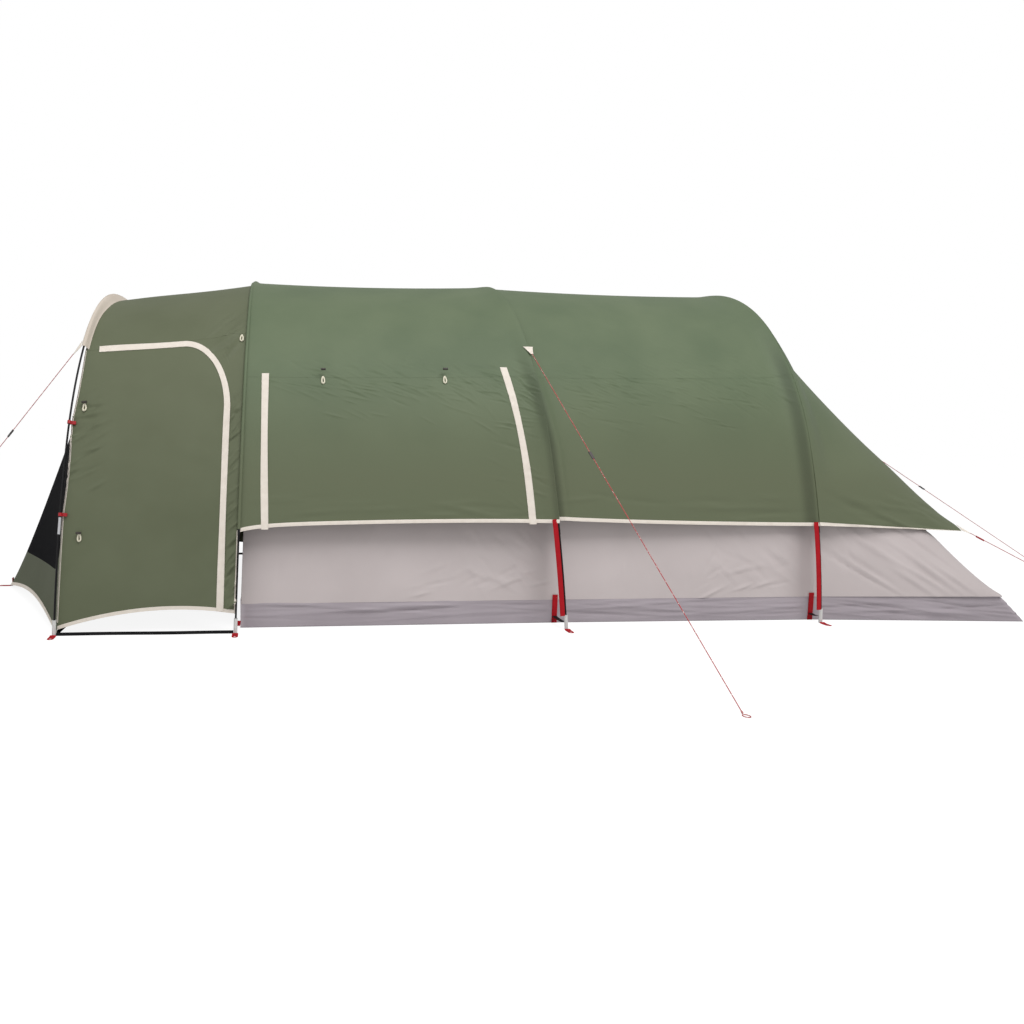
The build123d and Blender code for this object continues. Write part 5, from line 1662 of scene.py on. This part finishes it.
@dataclass
class Guys:
    """The four guys that show, their tabs on both sides and the loops at their ends."""

    fly: Fly
    lift: float = 0.0013  # middle of a tab above the cloth
    peg_height: float = 0.004
    porch_height: float = 1.400  # of the tabs
    middle_height: float = 1.436
    centre_height: float = 1.420
    corner_turn: float = math.radians(5.0)  # slope that the rear corner's tab takes up
    rear_edge_height: float = 0.603  # of the rear fly's edge on the middle line

    def lines(self) -> list[Guy]:
        """The guys with their starts and pegs."""
        porch, middle = PORCH_HOOP.slope_at(self.porch_height), MIDDLE_HOOP.slope_at(self.middle_height)
        porch_way = np.gradient(PORCH_HOOP.place(porch + np.array((-0.01, 0.0, 0.01)), 0.0, -1.0), axis=0)[1]
        first, last = (self.fly.rear_edge.at(self.fly.low + turn, -1.0) for turn in (0.0, self.corner_turn))
        crown = REAR_HOOP.place(LEVEL, FLY_OUT, 0.0, FLY_OUT)
        low_middle = np.array((REAR_HOOP.station + self.fly.rear_length, 0.0, self.rear_edge_height))
        share = (crown[2] - self.centre_height) / (crown[2] - low_middle[2])
        centre = blend(crown, low_middle, share) + np.array((0.0009, 0.0, 0.0009))
        corner = (first + last) / 2 + np.array((0.0006, -0.001, 0.0015))
        ahead, across = np.array((1.0, 0.0, 0.0)), np.array((0.0, 1.0, 0.0))
        width = np.linalg.norm(last - first)
        porch_base = PORCH_HOOP.place(porch, 0.0066, -1.0, -0.012 - self.lift)
        middle_base = MIDDLE_HOOP.place(middle, FLY_OUT + self.lift, -1.0)
        return [
            Guy("porch_guy", porch_base, porch_way, self.peg(-3.216, -0.943)),
            Guy("middle_guy", middle_base, ahead, self.peg(0.455, -2.339)),
            Guy("rear_corner_guy", corner, last - first, self.peg(3.533, -1.206), width),
            Guy("rear_centre_guy", centre, across, self.peg(4.461, 0.0)),
        ]

    def peg(self, x: float, y: float) -> Array:
        """Where a guy meets its peg."""
        return np.array((x, y, self.peg_height))

    def build(self) -> None:
        """Makes the cords, tabs and end loops."""
        tabs, loops = [], []
        for guy in self.lines():
            guy.cord()
            tabs.append(guy.tab())
            if guy.name != "rear_centre_guy":
                tabs.append(guy.tab(mirrored=True))
            loops += guy.end_loop()
        make_piece("guy_tabs_cloth", tabs, FLAP_CLOTH, nodes=["guy_tabs"])
        make_piece("guy_end_loops_cord", loops, GUY_CORD, nodes=["guy_end_loops"], thickness=0.0)


@dataclass
class ToggleLoops:
    """Small elastic loops that hang from the toggles beside the doors and under the roof's seam."""

    fly: Fly
    porch: Porch
    half_width: float = 0.0065
    half_height: float = 0.017
    cord: float = 0.0040
    door_place: float = -2.1034
    door_heights: Pair = (0.485, 1.105)
    cover_places: Pair = (-0.939, -0.310)
    roof_place: Pair = (-1.352, 1.470)

    def ring(self, span: Span, x: float, z: float, side: Side) -> Grid:
        """A drop-shaped ring of cord on a wall, hung at a place along the tent and a height."""
        turn = np.linspace(0, 2 * math.pi, 33)
        across = x + self.half_width * np.sin(turn) * (1 - 0.35 * np.cos(turn))
        height = z - self.half_height * (1 - np.cos(turn))
        return tube(span.wall(across, height, side, self.cord + 0.001), self.cord, 10)

    def build(self) -> None:
        """Makes the loops, those under the seam on the covers that they tie up."""
        fixed = []
        for side in Side:
            places = [(self.door_place, height - 0.004) for height in self.door_heights] + [self.roof_place]
            fixed += [self.ring(self.porch.span, *place, side) for place in places]
            places = [(x, self.fly.seam_line(x) - 0.006) for x in self.cover_places]
            tied = [self.ring(self.fly.front, *place, side) for place in places]
            make_piece(f"cover_loops_{side.word}", tied, ELASTIC, f"{side.word}_cover", thickness=0.0)
        make_piece("porch_loops", fixed, ELASTIC, thickness=0.0)


class Hardware:
    """The frame's own rigid nodes, with their finishes."""

    def build(self) -> None:
        """Gives each rigid node its material."""
        for names, finish in (
            (("porch_pole", *BAY_POLES), ROD),
            (("pole_ferrules",), TUBE),
            (("pole_tips",), PALE_PLASTIC),
            (("tie_toggles",), TOGGLE_PLASTIC),
            (("porch_clips",), RED_PLASTIC),
            (("porch_guy_slider", "middle_guy_slider", "rear_centre_guy_slider"), SLIDER_PLASTIC),
            (("rear_corner_guy_slider",), SLIDER_RED),
        ):
            for name in names:
                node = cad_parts[name]
                node.data.materials.clear()
                node.data.materials.append(finish.material())
                log.info("%s: %s", name, finish.name)


@dataclass
class Studio:
    """A white floor, soft lights and the camera at the photograph's viewing angle."""

    place: Triple = (-1.194, -4.653, 0.950)
    yaw: float = 5.54375  # degrees towards +X
    pitch: float = -5.84320
    roll: float = 0.75845
    image: int = 1024  # pixels across
    focal: float = 724.86  # pixels
    shift: float = 170.0  # pixels
    sensor: float = 36.0
    floor_reach: float = 60.0
    sky: float = 0.48  # strength where the camera doesn't see it
    glow: float = 0.72  # share of the floor's look that is even white
    glow_strength: float = 1.25
    matt: float = 0.75  # how much light the floor throws back

    def build(self) -> None:
        """Makes the floor, the world, the lamps and the camera."""
        bpy.context.scene.view_settings.view_transform = "Standard"
        self.build_camera()
        self.build_world()
        self.build_floor()
        self.add_lamp("key", (1.4, -5.0, 8.0), (0.2, 0.0, 0.8), 5.0, 452.0)
        self.add_lamp("fill", (-5.5, -4.5, 4.0), (-0.5, 0.0, 0.7), 4.5, 50.0)

    def stand(self, thing: bpy.types.Object, *columns: Array) -> None:
        """Turns and places a thing by its three axes and its place."""
        axes = np.eye(4)
        axes[:3] = np.stack(columns, axis=-1)
        thing.matrix_world = Matrix(axes.tolist())

    def build_camera(self) -> None:
        """Makes the camera from its yaw, pitch and roll."""
        yaw, pitch, roll = (math.radians(v) for v in (self.yaw, self.pitch, self.roll))
        level = math.cos(pitch)
        forward = np.array((math.sin(yaw) * level, math.cos(yaw) * level, math.sin(pitch)))
        right = np.array((math.cos(yaw), -math.sin(yaw), 0.0))
        up = np.cross(right, forward)
        data = bpy.data.cameras.new("camera")
        data.sensor_width = self.sensor
        data.lens = self.focal * self.sensor / self.image
        data.shift_x = self.shift / self.image
        camera = link_object("camera", data)
        side = math.cos(roll) * right + math.sin(roll) * up
        top = math.cos(roll) * up - math.sin(roll) * right
        self.stand(camera, side, top, -forward, self.place)
        bpy.context.scene.camera = camera

    def build_world(self) -> None:
        """Makes a soft even sky that the camera sees as white, also through anything clear."""
        world = bpy.data.worlds.new("studio")
        tree = clear_tree(world)
        ray = add_node(tree, "LightPath", out="Is Camera Ray")
        rays = {0: ray, 1: ray.node.outputs["Is Transmission Ray"]}
        seen = add_node(tree, "Math", rays, operation="MAXIMUM")
        skies = ({"Color": linear("#ffffff"), "Strength": power} for power in (self.sky, 1.0))
        soft, white = (add_node(tree, "Background", sky) for sky in skies)
        mix = add_node(tree, "MixShader", {0: seen, 1: soft, 2: white})
        add_node(tree, "OutputWorld", {"Surface": mix})
        bpy.context.scene.world = world

    def build_floor(self) -> None:
        """Makes a pale floor that keeps a soft shadow."""
        mesh = bpy.data.meshes.new("floor")
        reach = self.floor_reach
        corners = [(-reach, -reach, 0), (reach, -reach, 0), (reach, reach, 0), (-reach, reach, 0)]
        mesh.from_pydata(corners, [], [(0, 1, 2, 3)])
        floor = link_object("floor", mesh)
        material = bpy.data.materials.new("studio_floor")
        tree = clear_tree(material)
        ray = add_node(tree, "LightPath", out="Is Camera Ray")
        matt = add_node(tree, "BsdfDiffuse", {"Color": (self.matt, self.matt, self.matt, 1.0)})
        glow = add_node(tree, "Emission", {"Color": linear("#ffffff"), "Strength": self.glow_strength})
        part = add_node(tree, "Math", {0: ray, 1: self.glow}, operation="MULTIPLY")
        mix = add_node(tree, "MixShader", {0: part, 1: matt, 2: glow})
        add_node(tree, "OutputMaterial", {"Surface": mix})
        mesh.materials.append(material)

    def add_lamp(self, name: str, place: Triple, target: Triple, size: float, power: float) -> None:
        """Adds a soft square lamp that looks at a target."""
        data = bpy.data.lights.new(name, "AREA")
        data.size, data.energy = size, power
        back = unit(np.array(place) - np.array(target))
        right = unit(np.cross((0.0, 0.0, 1.0), back))
        self.stand(link_object(name, data), right, np.cross(back, right), back, place)


def main() -> None:
    """Builds the studio and every sub-assembly in order."""
    logging.basicConfig(level=logging.INFO, format="%(message)s")
    Studio().build()
    fly, porch = Fly(), Porch()
    inner = InnerTent(fly)
    Guys(fly).build()
    fly.build()
    porch.build()
    inner.build()
    Webbing(fly, inner).build()
    ToggleLoops(fly, porch).build()
    Hardware().build()


if __name__ == "__main__":
    main()
